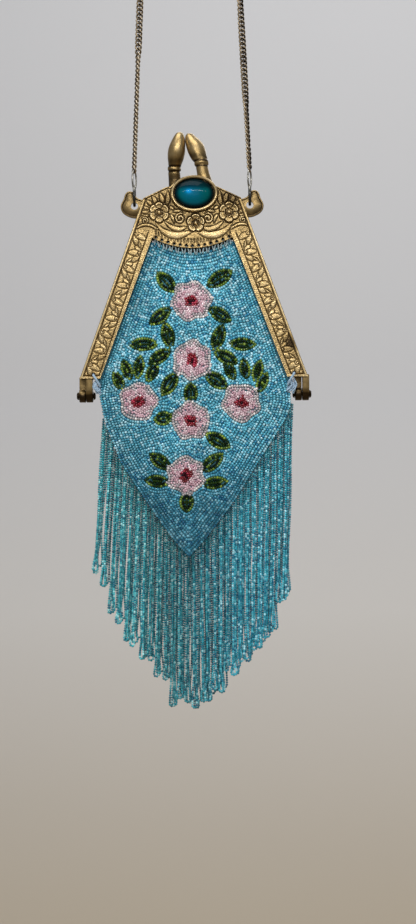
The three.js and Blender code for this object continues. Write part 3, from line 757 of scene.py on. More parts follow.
BRASS = brass_material("antique_brass", (0.035, 0.022, 0.010), (0.31, 0.215, 0.09), (0.66, 0.52, 0.29), 0.35)
CHAIN_BRASS = brass_material(
    "tarnished_brass", (0.02, 0.014, 0.010), (0.28, 0.22, 0.145), (0.60, 0.53, 0.42), 0.36
)
NICKEL = brass_material("worn_nickel", (0.05, 0.05, 0.045), (0.30, 0.29, 0.26), (0.66, 0.64, 0.60), 0.3)
BEADS = bead_material("seed_beads", 0.18, 0.15, 0.4)
DARK_BEADS = bead_material("dark_seed_beads", 0.24, 0.0, 0.09)
FRINGE_BEADS = bead_material("fringe_beads", 0.18, 0.12, 0.35)
STONE_GLASS = stone_material()
CLOTH = cloth_material("pouch_cloth", (0.03, 0.15, 0.21), (0.07, 0.26, 0.34))
# Near-black lining: painted shade inside the bag behind the sewing holes
SHADOW_LINING = cloth_material("shadow_lining", (0.004, 0.005, 0.007), (0.010, 0.012, 0.016))
GREY_THREAD = thread_material("grey_thread", (0.16, 0.26, 0.30), (0.42, 0.54, 0.56))
BLUE_THREAD = thread_material("blue_thread", (0.13, 0.23, 0.36), (0.40, 0.54, 0.66))
WALL = wall_material()


# Frame outline in X and Z

def lower_edge(x):
    return LOWER_EDGE_Z + (CORNER[1] - LOWER_EDGE_Z) * (x / CORNER[0]) ** 2


def leg_outer(z):
    return FOOT_OUTER + (SHOULDER[0] - FOOT_OUTER) * (z - FOOT_Z) / (SHOULDER[1] - FOOT_Z)


def leg_inner(z):
    return FOOT_INNER + (CORNER[0] - FOOT_INNER) * (z - FOOT_Z) / (CORNER[1] - FOOT_Z)


def top_edge(x):
    """Height of the crosspiece's upper outline, over the shoulders, the brows and the bezel."""
    side = np.abs(x)
    line = SHOULDER[1] + (BROW[1] - SHOULDER[1]) * (SHOULDER[0] - side) / (SHOULDER[0] - BROW[0])
    arch = BEZEL["b"] * np.sqrt(np.clip(1 - ((x - BEZEL["x"]) / BEZEL["a"]) ** 2, 0, 1))
    arch_top = np.where(arch > 0, BEZEL["z"] + arch, 0)
    return np.maximum(np.minimum(line, BROW[1]), arch_top)


def outer_path(inset):
    """The outline's outer side from the right foot over the top to the left foot."""
    start = math.asin((BROW[1] - BEZEL["z"]) / BEZEL["b"])
    angle = np.linspace(start, math.pi - start, 30)
    arc = oval(BEZEL["x"], BEZEL["z"], BEZEL["a"] - inset, BEZEL["b"] - inset, angle)
    right = np.array([
        (FOOT_OUTER - inset, FOOT_Z),
        (SHOULDER[0] - inset, SHOULDER[1] - inset),
        (BROW[0] - inset / 2, BROW[1] - inset),
    ])
    left = (right * (-1, 1))[::-1]
    return np.concatenate([right, arc, left])


def sewing_holes():
    x = (np.arange(SEWING_COUNT) - (SEWING_COUNT - 1) / 2) * SEWING_PITCH
    holes = [(at, lower_edge(at) + SEWING_INSET, SEWING_RADIUS) for at in x]
    return holes + [(side * FOOT_HOLE[0], FOOT_HOLE[1], FOOT_HOLE_RADIUS) for side in (-1, 1)]


def round_hole(x, z, radius):
    return oval(x, z, radius, radius, turns(HOLE_SIDES))


def inset_loop(loop, inset):
    """A closed outline moved inwards, with its corners kept sharp."""
    before = loop - np.roll(loop, 1, 0)
    after = np.roll(loop, -1, 0) - loop
    normals = []
    for edge in (before, after):
        normal = np.stack([-edge[:, 1], edge[:, 0]], 1)
        normals.append(unit(normal))
    mean = normals[0] + normals[1]
    scale = np.maximum(np.sum(mean * normals[0], 1), 0.4)
    return loop + inset * mean / scale[:, None]


def fill_at(form, edges, y):
    """Fills the loops among some edges that lie at one depth."""
    flat = [e for e in edges if all(abs(v.co.y - y) < 1e-6 for v in e.verts)]
    bmesh.ops.triangle_fill(form, edges=flat, use_beauty=True)


def plate(heap, outline, holes, levels, value):
    """A flat plate in X and Z with round holes, through levels of depth and inset, filled at both ends."""
    ahead = np.roll(outline, -1, 0)
    area = np.sum(outline[:, 0] * ahead[:, 1] - ahead[:, 0] * outline[:, 1])
    outline = outline if area > 0 else outline[::-1]
    form = bmesh.new()
    values = []
    for inner, loop in [(False, outline)] + [(True, round_hole(*hole)) for hole in holes]:
        rings = []
        values.append(np.repeat(np.broadcast_to(value, len(levels)), len(loop)))
        for y, inset in levels:
            ring = loop if inner else inset_loop(loop, inset)
            rings.append([form.verts.new((x, y, z)) for x, z in ring])
        for low, high in zip(rings, rings[1:]):
            for i in range(len(low)):
                j = (i + 1) % len(low)
                form.faces.new((low[i], low[j], high[j], high[i]))
    for y, _ in (levels[0], levels[-1]):
        fill_at(form, form.edges, y)
    heap.add_form(form, np.concatenate(values))


# Relief: strokes over the plate's face

def bezier(start, bend, end, count):
    t = np.linspace(0, 1, count)[:, None]
    return (1 - t) ** 2 * np.array(start) + 2 * t * (1 - t) * np.array(bend) + t**2 * np.array(end)


def leaf_stroke(start, end, bow, width, height=0.8, blunt=1.0):
    """A leaf along a bowed line, pointed at both ends, with a vein."""
    start, end = np.array(start, float), np.array(end, float)
    along = end - start
    bend = (start + end) / 2 + bow * np.array([-along[1], along[0]])
    t = np.linspace(0, 1, 9)
    widths = np.maximum(width / 2 * np.abs(np.sin(math.pi * t**0.75)) ** blunt, 0.08)
    line = bezier(start, bend, end, 9)
    return {"line": line, "widths": widths, "height": height, "vein": 0.35, "fall": LEAF_FALL}


def band_stroke(rows, height, fall):
    """A band through points, each with its width."""
    rows = spline(rows, 6 * len(rows))
    return {"line": rows[:, :2], "widths": rows[:, 2] / 2, "height": height, "vein": 0.0, "fall": fall}


def curl_stroke(centre, radius, start, winding, width, height=0.8):
    """A spiral that winds in to a bud."""
    t = np.linspace(0, 1, 22)
    angle = start + 2 * math.pi * winding * t
    reach = radius * (1 - 0.78 * t)
    line = oval(centre[0], centre[1], reach, reach, angle)
    widths = width / 2 * (0.75 + 0.35 * t)
    return {"line": line, "widths": widths, "height": height, "vein": 0.0, "fall": LEAF_FALL}


def stroke_height(u, v, stroke):
    """Indices of the points near a stroke, its height at each, and how far each lies outside it."""
    line, widths = stroke["line"], stroke["widths"]
    low = line.min(0) - widths.max() - GROOVE_REACH
    high = line.max(0) + widths.max() + GROOVE_REACH
    near = np.flatnonzero((u > low[0]) & (u < high[0]) & (v > low[1]) & (v < high[1]))
    points = np.stack([u[near], v[near]], 1)
    best = np.zeros(len(near))
    outside = np.full(len(near), GROOVE_REACH)
    for a, b, wide_a, wide_b in zip(line[:-1], line[1:], widths[:-1], widths[1:]):
        ab = b - a
        t = np.clip(((points - a) @ ab) / (ab @ ab), 0, 1)
        off = points - a - t[:, None] * ab
        away = np.hypot(off[:, 0], off[:, 1])
        width = wide_a + t * (wide_b - wide_a)
        share = np.clip(away / width, 0, 1)
        vein = 1 - stroke["vein"] * bell(share, 0.2)
        form = (1 - share**2) ** stroke["fall"] * vein
        best = np.maximum(best, form * np.sqrt(width / widths.max()))
        outside = np.minimum(outside, away - width)
    return near, stroke["height"] * best, outside


def groove(outside):
    """What a groove along an edge leaves of the height outside it."""
    return 1 - GROOVE_CUT * bell(np.maximum(outside, 0), GROOVE_WIDTH)


def carve(field, u, v, stroke):
    """Lays a stroke over a field of heights, with a groove along its edge."""
    near, rise, outside = stroke_height(u, v, stroke)
    inside = np.maximum(rise, field[near] * (1 - GROOVE_CUT))
    field[near] = np.where(outside > 0, field[near] * groove(outside), inside)


def on_leg(points):
    """Points given as the distance along a leg and in from its outer edge, in X and Z."""
    points = np.array(points, float)
    return LEG_START + points[:, :1] * LEG_ALONG + points[:, 1:] * LEG_INTO


def leg_strokes():
    """The leg's vine: leaves of four round lobes from either side in turn, waving stems and buds."""
    leaves, stems, buds = [], [], []
    for i in range(VINE_LEAVES):
        inward = 1 if i % 2 == 0 else -1
        root = np.array([VINE_FIRST + i * VINE_STEP, VINE_MIDDLE - inward * VINE_SWING])
        for degrees, length, width in VINE_FAN:
            lean = math.radians(degrees)
            tip = root + length * np.array([math.sin(lean), inward * math.cos(lean)])
            ends = on_leg([root, tip])
            bow = 0.1 * inward if degrees < -40 else -0.1 * inward
            leaves.append({**leaf_stroke(ends[0], ends[1], bow, width, 0.66, 0.62), "fall": LOBE_FALL})
        across = inward * VINE_SWING
        steps = [(0.6, -0.3), (2.6, -0.75), (4.8, -0.35), (6.4, 0.35), (8.0, 0.9)]
        line = on_leg([(root[0] + s, VINE_MIDDLE + across * t) for s, t in steps])
        widths = (0.9, 1.2, 1.2, 1.1, 0.8)
        stems.append(band_stroke([(*spot, wide) for spot, wide in zip(line, widths)], 0.6, LEAF_FALL))
        bud = on_leg([root + (0.4, 0.2 * inward)])[0]
        buds.append(curl_stroke(bud, 1.0, 1.6 * inward, 0.9 * inward, 0.9, 0.74))
    return stems + leaves + buds


def mirrored(strokes):
    turned = []
    for stroke in strokes:
        line = stroke["line"] * (-1, 1) + (2 * MIRROR_X, 0)
        turned.append({**stroke, "line": line})
    return turned


def crosspiece_strokes():
    """Leaves, ribs, curls and swags of the left side, mirrored to the right."""
    half = [
        leaf_stroke((-21.6, 102.4), (-25.2, 105.6), -0.15, 2.4, 0.8),
        leaf_stroke((-19.4, 103.4), (-22.0, 108.0), -0.18, 2.8, 0.9),
        leaf_stroke((-13.9, 102.6), (-13.2, 111.0), -0.12, 3.0, 0.95),
        leaf_stroke((-16.2, 103.6), (-17.8, 109.8), -0.2, 3.1, 1.0),
        leaf_stroke((-12.4, 101.8), (-9.4, 100.0), 0.2, 1.9, 0.8),
        leaf_stroke((-23.2, 101.2), (-28.0, 102.6), 0.1, 1.7, 0.8),
        leaf_stroke((-23.4, 99.4), (-28.6, 99.6), 0.1, 1.7, 0.8),
        leaf_stroke((-23.2, 97.4), (-28.4, 96.8), 0.1, 1.7, 0.8),
        curl_stroke((-25.6, 94.6), 1.9, 2.4, -1.3, 1.1, 0.95),
        band_stroke([(-30.4, 90.6, 1.0), (-26.6, 92.2, 1.6), (-22.8, 92.0, 1.6), (-19.0, 90.0, 1.2)],
                    0.85, LEAF_FALL),
        band_stroke([(-19.2, 92.6, 1.0), (-16.0, 89.0, 2.6), (-11.8, 86.9, 3.6), (-7.8, 86.4, 3.8),
                     (-4.0, 87.2, 2.8), (-0.4, 88.4, 0.9)], 0.9, BAND_FALL),
        band_stroke([(-14.6, 93.6, 0.8), (-11.2, 90.9, 2.3), (-7.4, 89.7, 2.6), (-3.6, 90.6, 0.9)],
                    0.95, BAND_FALL),
        leaf_stroke((-12.0, 97.8), (-9.8, 92.6), 0.22, 2.0, 0.85),
        leaf_stroke((-10.6, 99.2), (-4.0, 98.6), 0.22, 1.9, 0.85),
        curl_stroke((-6.5, 95.6), 2.9, 1.2, 1.35, 1.5, 1.05),
    ]
    return half + mirrored(half)


def rosette_height(x, z, row):
    """Round petals with raised edges about a cup with a heart in it, and how far each point lies outside."""
    centre_x, centre_z, radius, petals, height = row
    reach = np.hypot(x - centre_x, z - centre_z)
    angle = np.arctan2(x - centre_x, z - centre_z)
    lobe = np.abs(np.cos(petals * angle / 2))
    edge = radius * (0.78 + 0.22 * lobe**0.6)
    share = reach / edge
    petal = 0.62 + 0.24 * smooth(0.6, 0.86, share)
    petal = petal * np.sqrt(np.clip(1 - smooth(0.84, 1.0, share), 0, 1))
    petal = petal * (1 - 0.75 * bell(lobe, 0.16) * smooth(0.48, 0.66, share))
    cup = bell(share - 0.47, 0.09)
    hollow = 0.16 * (share < 0.47)
    heart = 0.95 * np.sqrt(np.clip(1 - (share / 0.21) ** 2, 0, 1))
    inside = np.maximum(np.maximum(hollow, cup), heart)
    form = np.where(share < 0.47, inside, np.maximum(petal, cup))
    return height * form, reach - edge


def ripple(x, z, size):
    """A fine uneven ground, the same each run."""
    wave_x = np.sin(x / size + 1.7 * np.sin(z / size * 0.83))
    return wave_x * np.sin(z / size * 1.13 + 1.3 * np.sin(x / size * 0.71))


def leg_relief(x, z, from_outer, from_inner):
    """Height on the legs: the vine in its window, the bar at the foot and the inner border."""
    rise = np.clip((z - FOOT_Z) / (CORNER[1] - FOOT_Z), 0, 1)
    foot_width = np.where(x < 0, BORDER_LEFT[0], BORDER_RIGHT[0])
    top_width = np.where(x < 0, BORDER_LEFT[1], BORDER_RIGHT[1])
    border_width = foot_width + (top_width - foot_width) * rise
    bar_top = FOOT_Z + FOOT_BAR
    vine = np.full(len(x), GROUND)
    for stroke in leg_strokes():
        carve(vine, np.abs(x), z, stroke)
    vine = vine * smooth(RIM_WIDTH + 0.3, RIM_WIDTH + 0.7, from_outer)
    vine = vine * smooth(border_width + 0.1, border_width + 0.5, from_inner)
    vine = vine * smooth(bar_top + 0.2, bar_top + 0.7, z)
    bar = 0.75 * (1 - smooth(bar_top - 0.3, bar_top, z))
    border = 0.5 + 0.16 * (1 - smooth(0.3, 0.6, from_inner))
    border = border * (1 - smooth(border_width - 0.3, border_width, from_inner))
    return np.maximum(np.maximum(vine, bar), border)


def cross_relief(x, z, from_outer):
    """Height on the crosspiece: flutes, leaves, curls and swags, rosettes, and a lip along both edges."""
    above_edge = z - lower_edge(np.clip(x, -CORNER[0], CORNER[0]))
    below_top = top_edge(x) - z
    middle = 1 - smooth(CORNER[0] - 1.5, CORNER[0], np.abs(x))
    flutes = 0.5 + 0.5 * np.cos(2 * math.pi * x / FLUTE_PITCH + 1.3 * ripple(x, z, 1.6))
    fluted = middle * smooth(2.1, 2.5, above_edge) * (1 - smooth(4.4, 5.4, above_edge))
    cross = GROUND * (1 - fluted * (1 - flutes))
    for stroke in crosspiece_strokes():
        carve(cross, x, z, stroke)
    for row in ROSETTES:
        height, outside = rosette_height(x, z, row)
        cross = np.where(outside > 0, cross * groove(outside), height)
    cross = cross * smooth(0.8, 1.4, below_top) * smooth(RIM_WIDTH + 0.3, RIM_WIDTH + 0.7, from_outer)
    lip = 0.2 * (1 - smooth(0.2, 0.5, above_edge)) * middle
    brow = 0.5 * (1 - smooth(0.5, 0.9, below_top))
    return np.maximum(cross, np.maximum(lip, brow))


def relief(x, z):
    """Height of the front face over the plate at each point."""
    side = np.abs(x)
    from_outer = (side - LEG_START[0]) * LEG_INTO[0] + (z - LEG_START[1]) * LEG_INTO[1]
    from_inner = (side - INNER_START[0]) * INNER_OUT[0] + (z - INNER_START[1]) * INNER_OUT[1]
    on_legs = (1 - smooth(86.0, 90.0, z)) * smooth(CORNER[0] - 1.2, CORNER[0], side)
    legs = leg_relief(x, z, from_outer, from_inner)
    cross = cross_relief(x, z, from_outer)
    height = legs * on_legs + cross * (1 - on_legs) + 0.05 * ripple(x, z, 0.34)
    rim = 0.8 * np.clip(1 - ((from_outer - RIM_WIDTH / 2) / (RIM_WIDTH / 2)) ** 4, 0, 1) ** 0.5
    height = np.maximum(height, rim * (1 - smooth(105.0, 107.0, z)))
    around = np.hypot((x - BEZEL["x"]) / BEZEL["a"], (z - BEZEL["z"]) / BEZEL["b"])
    return height * smooth(0.96, 1.05, around)


# Front half of the frame

def face_patches():
    """The plate's face as three grids that share their edges: two legs and the crosspiece."""
    across = np.linspace(0, 1, LEG_COLUMNS + 1)
    levels = np.linspace(FOOT_Z, CORNER[1], LEG_ROWS + 1)[:, None]
    right_x = leg_inner(levels) + (leg_outer(levels) - leg_inner(levels)) * across
    right_z = np.broadcast_to(levels, right_x.shape)
    half_top = leg_outer(CORNER[1])
    foot = np.concatenate([
        -np.linspace(half_top, CORNER[0], LEG_COLUMNS + 1),
        np.linspace(-CORNER[0], CORNER[0], MIDDLE_COLUMNS + 1)[1:-1],
        np.linspace(CORNER[0], half_top, LEG_COLUMNS + 1),
    ])
    foot_z = np.where(np.abs(foot) < CORNER[0], lower_edge(foot), CORNER[1])
    head = foot * SHOULDER[0] / half_top
    rise = np.linspace(0, 1, CROSS_ROWS + 1)[:, None]
    cross_x = foot + rise * (head - foot)
    cross_z = foot_z + rise * (top_edge(head) - foot_z)
    return [(right_x, right_z), (-right_x[:, ::-1], right_z), (cross_x, cross_z)]


def blurred(field, times):
    for _ in range(times):
        wide = np.pad(field, 1, mode="edge")
        field = (wide[:-2, 1:-1] + wide[2:, 1:-1] + wide[1:-1, :-2] + wide[1:-1, 2:] + 2 * field) / 6
    return field


def with_holes(x, z):
    """A grid of the face with points moved to the rims of the holes, and which points lie clear of them."""
    x, z = np.array(x), np.array(z)
    clear = np.ones(x.shape, bool)
    for hole_x, hole_z, radius in sewing_holes():
        off = np.hypot(x - hole_x, z - hole_z)
        at_rim = np.abs(off - radius) < 0.2
        x[at_rim] = hole_x + (x - hole_x)[at_rim] * radius / off[at_rim]
        z[at_rim] = hole_z + (z - hole_z)[at_rim] * radius / off[at_rim]
        clear &= np.hypot(x - hole_x, z - hole_z) > radius - 0.02
    return x, z, clear


def face_rub_and_shade(x, z, height):
    """How rubbed the face is: more where it stands out, less at the top and in patches, with painted shade
    round the holes.
    """
    cavity = height - blurred(height, 8)
    upper = smooth(84, 92, z)
    patina_and_shade = 0.26 + (0.8 + 0.3 * upper) * cavity + 0.26 * height - 0.15 * upper
    # Painted shade round each hole
    for hole_x, hole_z, radius in sewing_holes():
        patina_and_shade -= 0.4 * bell(np.hypot(x - hole_x, z - hole_z) - radius, 0.4)
    for stain_x, stain_z, reach, depth in TARNISH:
        patina_and_shade -= depth * bell(np.hypot(x - stain_x, z - stain_z), reach)
    return np.clip(patina_and_shade, 0.0, 1)


def carved_plate(heap):
    """The front plate: its relief, side walls, sewing holes and plain back."""
    form = bmesh.new()
    layer = form.verts.layers.float.new("patina_and_shade")
    for patch in face_patches():
        x, z, clear = with_holes(*patch)
        height = relief(x.ravel(), z.ravel()).reshape(x.shape)
        patina_and_shade = face_rub_and_shade(x, z, height)
        verts = [form.verts.new(spot) for spot in zip(x.ravel(), FACE_Y - height.ravel(), z.ravel())]
        for vert, value in zip(verts, patina_and_shade.ravel()):
            vert[layer] = value
        keep = clear.ravel()
        for face in grid_faces(*x.shape):
            if keep[face].all():
                form.faces.new([verts[i] for i in face])
    bmesh.ops.remove_doubles(form, verts=form.verts, dist=1e-4)
    loose = [v for v in form.verts if not v.link_faces]
    bmesh.ops.delete(form, geom=loose, context="VERTS")
    rim_edges = [e for e in form.edges if e.is_boundary]
    grown = bmesh.ops.extrude_edge_only(form, edges=rim_edges)["geom"]
    for vert in grown:
        if isinstance(vert, bmesh.types.BMVert):
            vert.co.y = PLATE_BACK_Y
            vert[layer] = 0.12
    fill_at(form, [e for e in grown if isinstance(e, bmesh.types.BMEdge)], PLATE_BACK_Y)
    heap.add_form(form, np.array([v[layer] for v in form.verts]))


def hinge_tab(x0, x1, turn):
    """A hinge tab: a block from the foot that rounds into the barrel. turn is -1 on the back half."""
    barrel = oval(0, 0, TAB_RADIUS, TAB_RADIUS, np.linspace(*TAB_ARC, 30))
    outline = np.concatenate([TAB_BLOCK, barrel])
    sections = ((x0, TAB_SHRINK), (x0 + TAB_ROUND, 1.0), (x1 - TAB_ROUND, 1.0), (x1, TAB_SHRINK))
    rings = []
    for x, shrink in sections:
        loop = TAB_MIDDLE + (outline - TAB_MIDDLE) * shrink
        rings.append(np.stack([np.full(len(loop), x), loop[:, 0], loop[:, 1]], 1) * (turn, turn, 1))
    points, faces = skin(rings)
    return points, faces, -0.3 + (0.58 if turn > 0 else 0.48) * smooth(-1.5, 2.5, points[:, 2])


def clasp_finger(rows, bands):
    """A clasp finger: round, with a banded collar and a bud."""
    path = spline(rows, 90)
    radius = path[:, 3].copy()
    for band in bands:
        radius -= 0.32 * bell(path[:, 2] - band, 0.4)
    points, faces = tube(path[:, :3], np.maximum(radius, 0.25), 40)
    to_band = np.min([np.abs(points[:, 2] - band) for band in bands], 0)
    root = smooth(126, 118, points[:, 2])
    smudge = 0.3 * bell(points[:, 2] - bands[1] - 2.5, 2.2)
    root_shade = 0.35 if rows[0][0] < 0 else 0.12
    return points, faces, 0.42 - 0.45 * bell(to_band, 0.6) - root_shade * root - smudge


def bezel_ring():
    angle = turns(BEZEL_SECTIONS)
    a = BEZEL["a"] - BEZEL["wall"] / 2
    b = BEZEL["b"] - BEZEL["wall"] / 2
    centre = oval(BEZEL["x"], BEZEL["z"], a, b, angle)
    normal = unit(oval(0, 0, 1 / a, 1 / b, angle))
    rings = []
    for c, n in zip(centre, normal):
        rings.append([(c[0] + n[0] * off, y, c[1] + n[1] * off) for off, y in BEZEL_PROFILE])
    points, faces = skin(rings, closed=True)
    return points, faces, 0.1 + 0.45 * smooth(-7.0, -9.4, points[:, 1])


def rim_band(heap, turn):
    """The wall that stands from the plate to the parting plane along the outer outline."""
    band = np.concatenate([outer_path(0), outer_path(RIM)[::-1]]) * (turn, 1)
    levels = [(turn * PARTING_Y, 0.25), (turn * (PARTING_Y - 0.3), 0.0), (turn * (PLATE_BACK_Y - 0.2), 0.0)]
    plate(heap, band, [], levels, 0.42)


def half_frame(heap, turn, finger, bands):
    """What both halves have: the wall, the hinge tabs and a clasp finger. turn is -1 on the back half."""
    rim_band(heap, turn)
    for x0, x1 in TABS_X:
        heap.add(*hinge_tab(x0, x1, turn))
    heap.add(*clasp_finger(finger, bands))


def frame_front():
    heap = Heap()
    carved_plate(heap)
    half_frame(heap, 1, FINGER_RIGHT, BANDS_RIGHT)
    heap.add(*bezel_ring())
    cast = heap.make("frame_front_cast", BRASS, "patina_and_shade", crease=CREASE)
    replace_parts(cast, "frame_front")


# Back half of the frame

def ear_outline(side):
    """The lobes of a chain ear, run together."""
    xs = np.linspace(20, 42, 111)
    zs = np.linspace(94, 115, 106)
    grid_x, grid_z = np.meshgrid(xs, zs)
    reach = [radius - np.hypot(grid_x - x, grid_z - z) for x, z, radius in EAR_LOBES]
    field = EAR_BLEND * np.log(sum(np.exp(part / EAR_BLEND) for part in reach))
    line, _ = max(contour_lines(field, EAR_OFFSET, xs, zs), key=lambda item: len(item[0]))
    loop, _ = resampled(line, True, EAR_STEP)
    return loop * (side, 1)


def frame_back():
    heap = Heap()
    outline = np.concatenate([
        outer_path(0),
        [(-FOOT_INNER, FOOT_Z), (-CORNER[0], CORNER[1])],
        [(x, lower_edge(x)) for x in np.linspace(-CORNER[0], CORNER[0], 33)[1:-1]],
        [(CORNER[0], CORNER[1]), (FOOT_INNER, FOOT_Z)],
    ])
    levels = [(-PLATE_BACK_Y, 0.0), (-FACE_Y - 0.4, 0.0), (-FACE_Y - 0.12, 0.12), (-FACE_Y, 0.42)]
    plate(heap, outline * (-1, 1), sewing_holes(), levels, 0.5)
    half_frame(heap, -1, FINGER_LEFT, BANDS_LEFT)
    low = EAR["y"] - EAR["thickness"] / 2
    for side in (-1, 1):
        hole = (side * EAR["hole_x"], EAR["hole_z"], EAR["hole_radius"])
        levels = [(low + y, inset) for y, inset, _ in EAR_LEVELS]
        plate(heap, ear_outline(side), [hole], levels, [row[2] for row in EAR_LEVELS])
    cast = heap.make("frame_back_cast", BRASS, "patina_and_shade", crease=CREASE)
    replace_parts(cast, "frame_back")


# Stone, rivets, rings and chain

def cabochon():
    """An oval dome: dark at its rim and upper third, teal below, with a painted blue glint left of the
    middle.
    """
    a = BEZEL["a"] - BEZEL["wall"] - STONE["gap"]
    b = BEZEL["b"] - BEZEL["wall"] - STONE["gap"]
    tilt = np.linspace(0, math.pi / 2 - STONE_TOP, STONE_LEVELS)
    levels = [(1.0, 0.0)] + [(math.cos(t), STONE["girdle"] + STONE["rise"] * math.sin(t)) for t in tilt]
    rings = []
    for share, rise in levels:
        loop = oval(BEZEL["x"], BEZEL["z"], a * share, b * share, turns(STONE_SIDES))
        rings.append(np.stack([loop[:, 0], np.full(STONE_SIDES, STONE["base"] - rise), loop[:, 1]], 1))
    points, faces = skin(rings)
    u = (points[:, 0] - BEZEL["x"]) / a
    v = (points[:, 2] - BEZEL["z"]) / b
    body = smooth(0.94, 0.66, np.hypot(u, v)) * (1 - 0.85 * smooth(0.12, 0.5, v))
    # Painted highlight: a blue glint left of the middle, with a fainter blue glow about it
    glint = bell(u + 0.27, 0.13) * bell(v - 0.1, 0.13)
    glint = glint + 0.16 * bell(u + 0.2, 0.4) * bell(v, 0.35)
    green = smooth(0.2, 0.8, np.abs(u + 0.1)) * 0.7
    colour = STONE_RIM + (STONE_TEAL - STONE_RIM) * body[:, None]
    colour = colour + (STONE_GREEN - STONE_TEAL) * (green * body)[:, None]
    colour = colour + STONE_GLINT * glint[:, None]
    heap = heap_of(points, faces, np.clip(colour, 0, 1))
    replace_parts(heap.make("stone", STONE_GLASS, "tint"), "cabochon")


def rivet(name, side):
    """A rivet with two domed heads."""
    shaft, head, cap = PIN["radius"], PIN["head"], PIN["head_length"]
    inner, outer = PIN["inner"], PIN["outer"]
    dome = [(1.0, 0.3), (1.0, head * 0.6), (0.7, head * 0.9), (0.3, head), (0.0, head)]
    profile = [(inner - cap * out, radius) for out, radius in dome]
    profile += [(inner, shaft), (outer, shaft)]
    profile += [(outer + cap * out, radius) for out, radius in dome[::-1]]
    rings = []
    for x, radius in profile:
        loop = oval(0, 0, radius, radius, turns(PIN_SIDES))
        rings.append(np.stack([np.full(PIN_SIDES, side * x), loop[:, 0], loop[:, 1]], 1))
    points, faces = skin(rings)
    heap = heap_of(points, faces, np.full(len(points), PIN_PATINA))
    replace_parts(heap.make(f"{name}_rivet", BRASS, "patina_and_shade"), name)


def oval_wire(name, side, size, turn, metal):
    """A closed upright oval of wire, turned about its height from the plane of X and Z."""
    angle = turns(WIRE_SECTIONS)
    path = np.zeros((WIRE_SECTIONS, 3))
    path[:, 0] = side * EAR["hole_x"]
    path[:, 1] = EAR["y"]
    path[:, 0] += size["half_width"] * np.cos(angle) * math.cos(turn)
    path[:, 1] += size["half_width"] * np.cos(angle) * math.sin(turn)
    path[:, 2] = size["z"] + size["half_height"] * np.sin(angle)
    points, faces = tube(path, size["wire"], WIRE_SIDES, closed=True)
    # Painted light from above: the wire is lighter towards its top and darker towards its bottom
    heap = heap_of(points, faces, 0.5 * smooth(0, 5, points[:, 2] - RING["z"]) - 0.2)
    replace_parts(heap.make(f"{name}_wire", metal, "patina_and_shade"), name)


def chain_route(count):
    """Points along the chain's route: up from one end link, over the bend and down to the other."""
    run = np.array([EAR["hole_x"], CHAIN_FOOT - CHAIN_BEND_Z])
    start = math.atan2(run[1], run[0]) + math.acos(CHAIN_BEND_RADIUS / np.hypot(*run))
    angle = np.linspace(start, math.pi - start, 400)
    bend = oval(0, CHAIN_BEND_Z, CHAIN_BEND_RADIUS, CHAIN_BEND_RADIUS, angle)
    feet = np.array([[EAR["hole_x"], CHAIN_FOOT], [-EAR["hole_x"], CHAIN_FOOT]])
    line = np.concatenate([feet[:1], bend, feet[1:]])
    run = run_along(line)
    return sampled(line, run, np.linspace(0.1, run[-1] - 0.1, count)), run[-1]


def chain_roll(x, z):
    """How far a link is rolled about the chain, at its place on the left or the right run."""
    if x < 0:
        return ROLL_FULL * (1 - smooth(*ROLL_LEFT, z)) + 0.1
    return ROLL_FULL - ROLL_EASED * smooth(*ROLL_RIGHT, z) * (1 - 0.5 * smooth(*ROLL_BEND, z))


def chain():
    """Curb links, each twisted so that it passes through its neighbours, turning slowly along the chain."""
    _, length = chain_route(2)
    count = int(round(length / LINK["pitch"])) + 1
    spots, _ = chain_route(count)
    along = unit(np.gradient(spots, axis=0))
    phase = turns(LINK_SECTIONS)
    heap = Heap()
    rng = np.random.default_rng(SEED)
    for spot, forward in zip(spots, along):
        roll = chain_roll(*spot) + rng.normal(0, 0.05)
        ahead = np.array([forward[0], 0, forward[1]])
        across = np.array([forward[1], 0, -forward[0]])
        over = np.array([0, 1, 0])
        twist = LINK["twist"] / 2 * np.cos(phase) + roll
        swing = LINK["half_width"] * np.sin(phase)
        path = (
            np.array([spot[0], EAR["y"], spot[1]])
            + (LINK["half_length"] * np.cos(phase))[:, None] * ahead
            + (swing * np.cos(twist))[:, None] * across
            + (swing * np.sin(twist))[:, None] * over
        )
        rings = tube_rings(path, LINK["wire"], LINK_SIDES, closed=True)
        out = unit(path - path.mean(0))
        outer = np.sum((rings - path[:, None]) * out[:, None], 2).ravel() / LINK["wire"]
        bright = 0.1 if spot[0] < 0 else 0.0
        heap.add(*skin(rings, closed=True), bright + 0.34 * outer + rng.uniform(0.0, 0.2))
    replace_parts(heap.make("chain_links", CHAIN_BRASS, "patina_and_shade"), "chain")


# Pouch

def panel_span(level):
    """A panel's middle and half width at a height, and how far it is held behind the frame there."""
    left = from_table(PANEL_SIDE, level, 1)
    right = from_table(PANEL_SIDE, level, 2)
    return (right - left) / 2, (left + right) / 2, smooth(-12, 8, level)


def panel_depth(x, level):
    middle, half, framed = panel_span(level)
    edge = SEAM_DEPTH + (FRAMED_DEPTH - SEAM_DEPTH) * framed
    lap = np.minimum(1, half / 4)
    free = half - (lap + (PANEL_LAP + 0.6 - lap) * framed)
    inward = np.clip((free - np.abs(x - middle)) / free, 0, 1)
    bulge = sum(w * from_table(PANEL_BULGE, level + step) for step, w in ((-6, 0.25), (0, 0.5), (6, 0.25)))
    return edge + bulge * (1 - (1 - inward) ** PUFF_POWER)


def panel_lift(x, level):
    return (lower_edge(x) - LOWER_EDGE_Z) * smooth(55.4, PANEL_SIDE[0][0], level)


def panel_points(x, z, sink):
    """Points of the front panel at a depth below its outer face."""
    level = z - panel_lift(x, z)
    return np.stack([x, -(panel_depth(x, level) - sink), z], -1)


def panel_normals(x, z):
    step = 0.6
    dx = panel_points(x + step, z, 0) - panel_points(x - step, z, 0)
    dz = panel_points(x, z + step, 0) - panel_points(x, z - step, 0)
    return unit(np.cross(dx, dz))


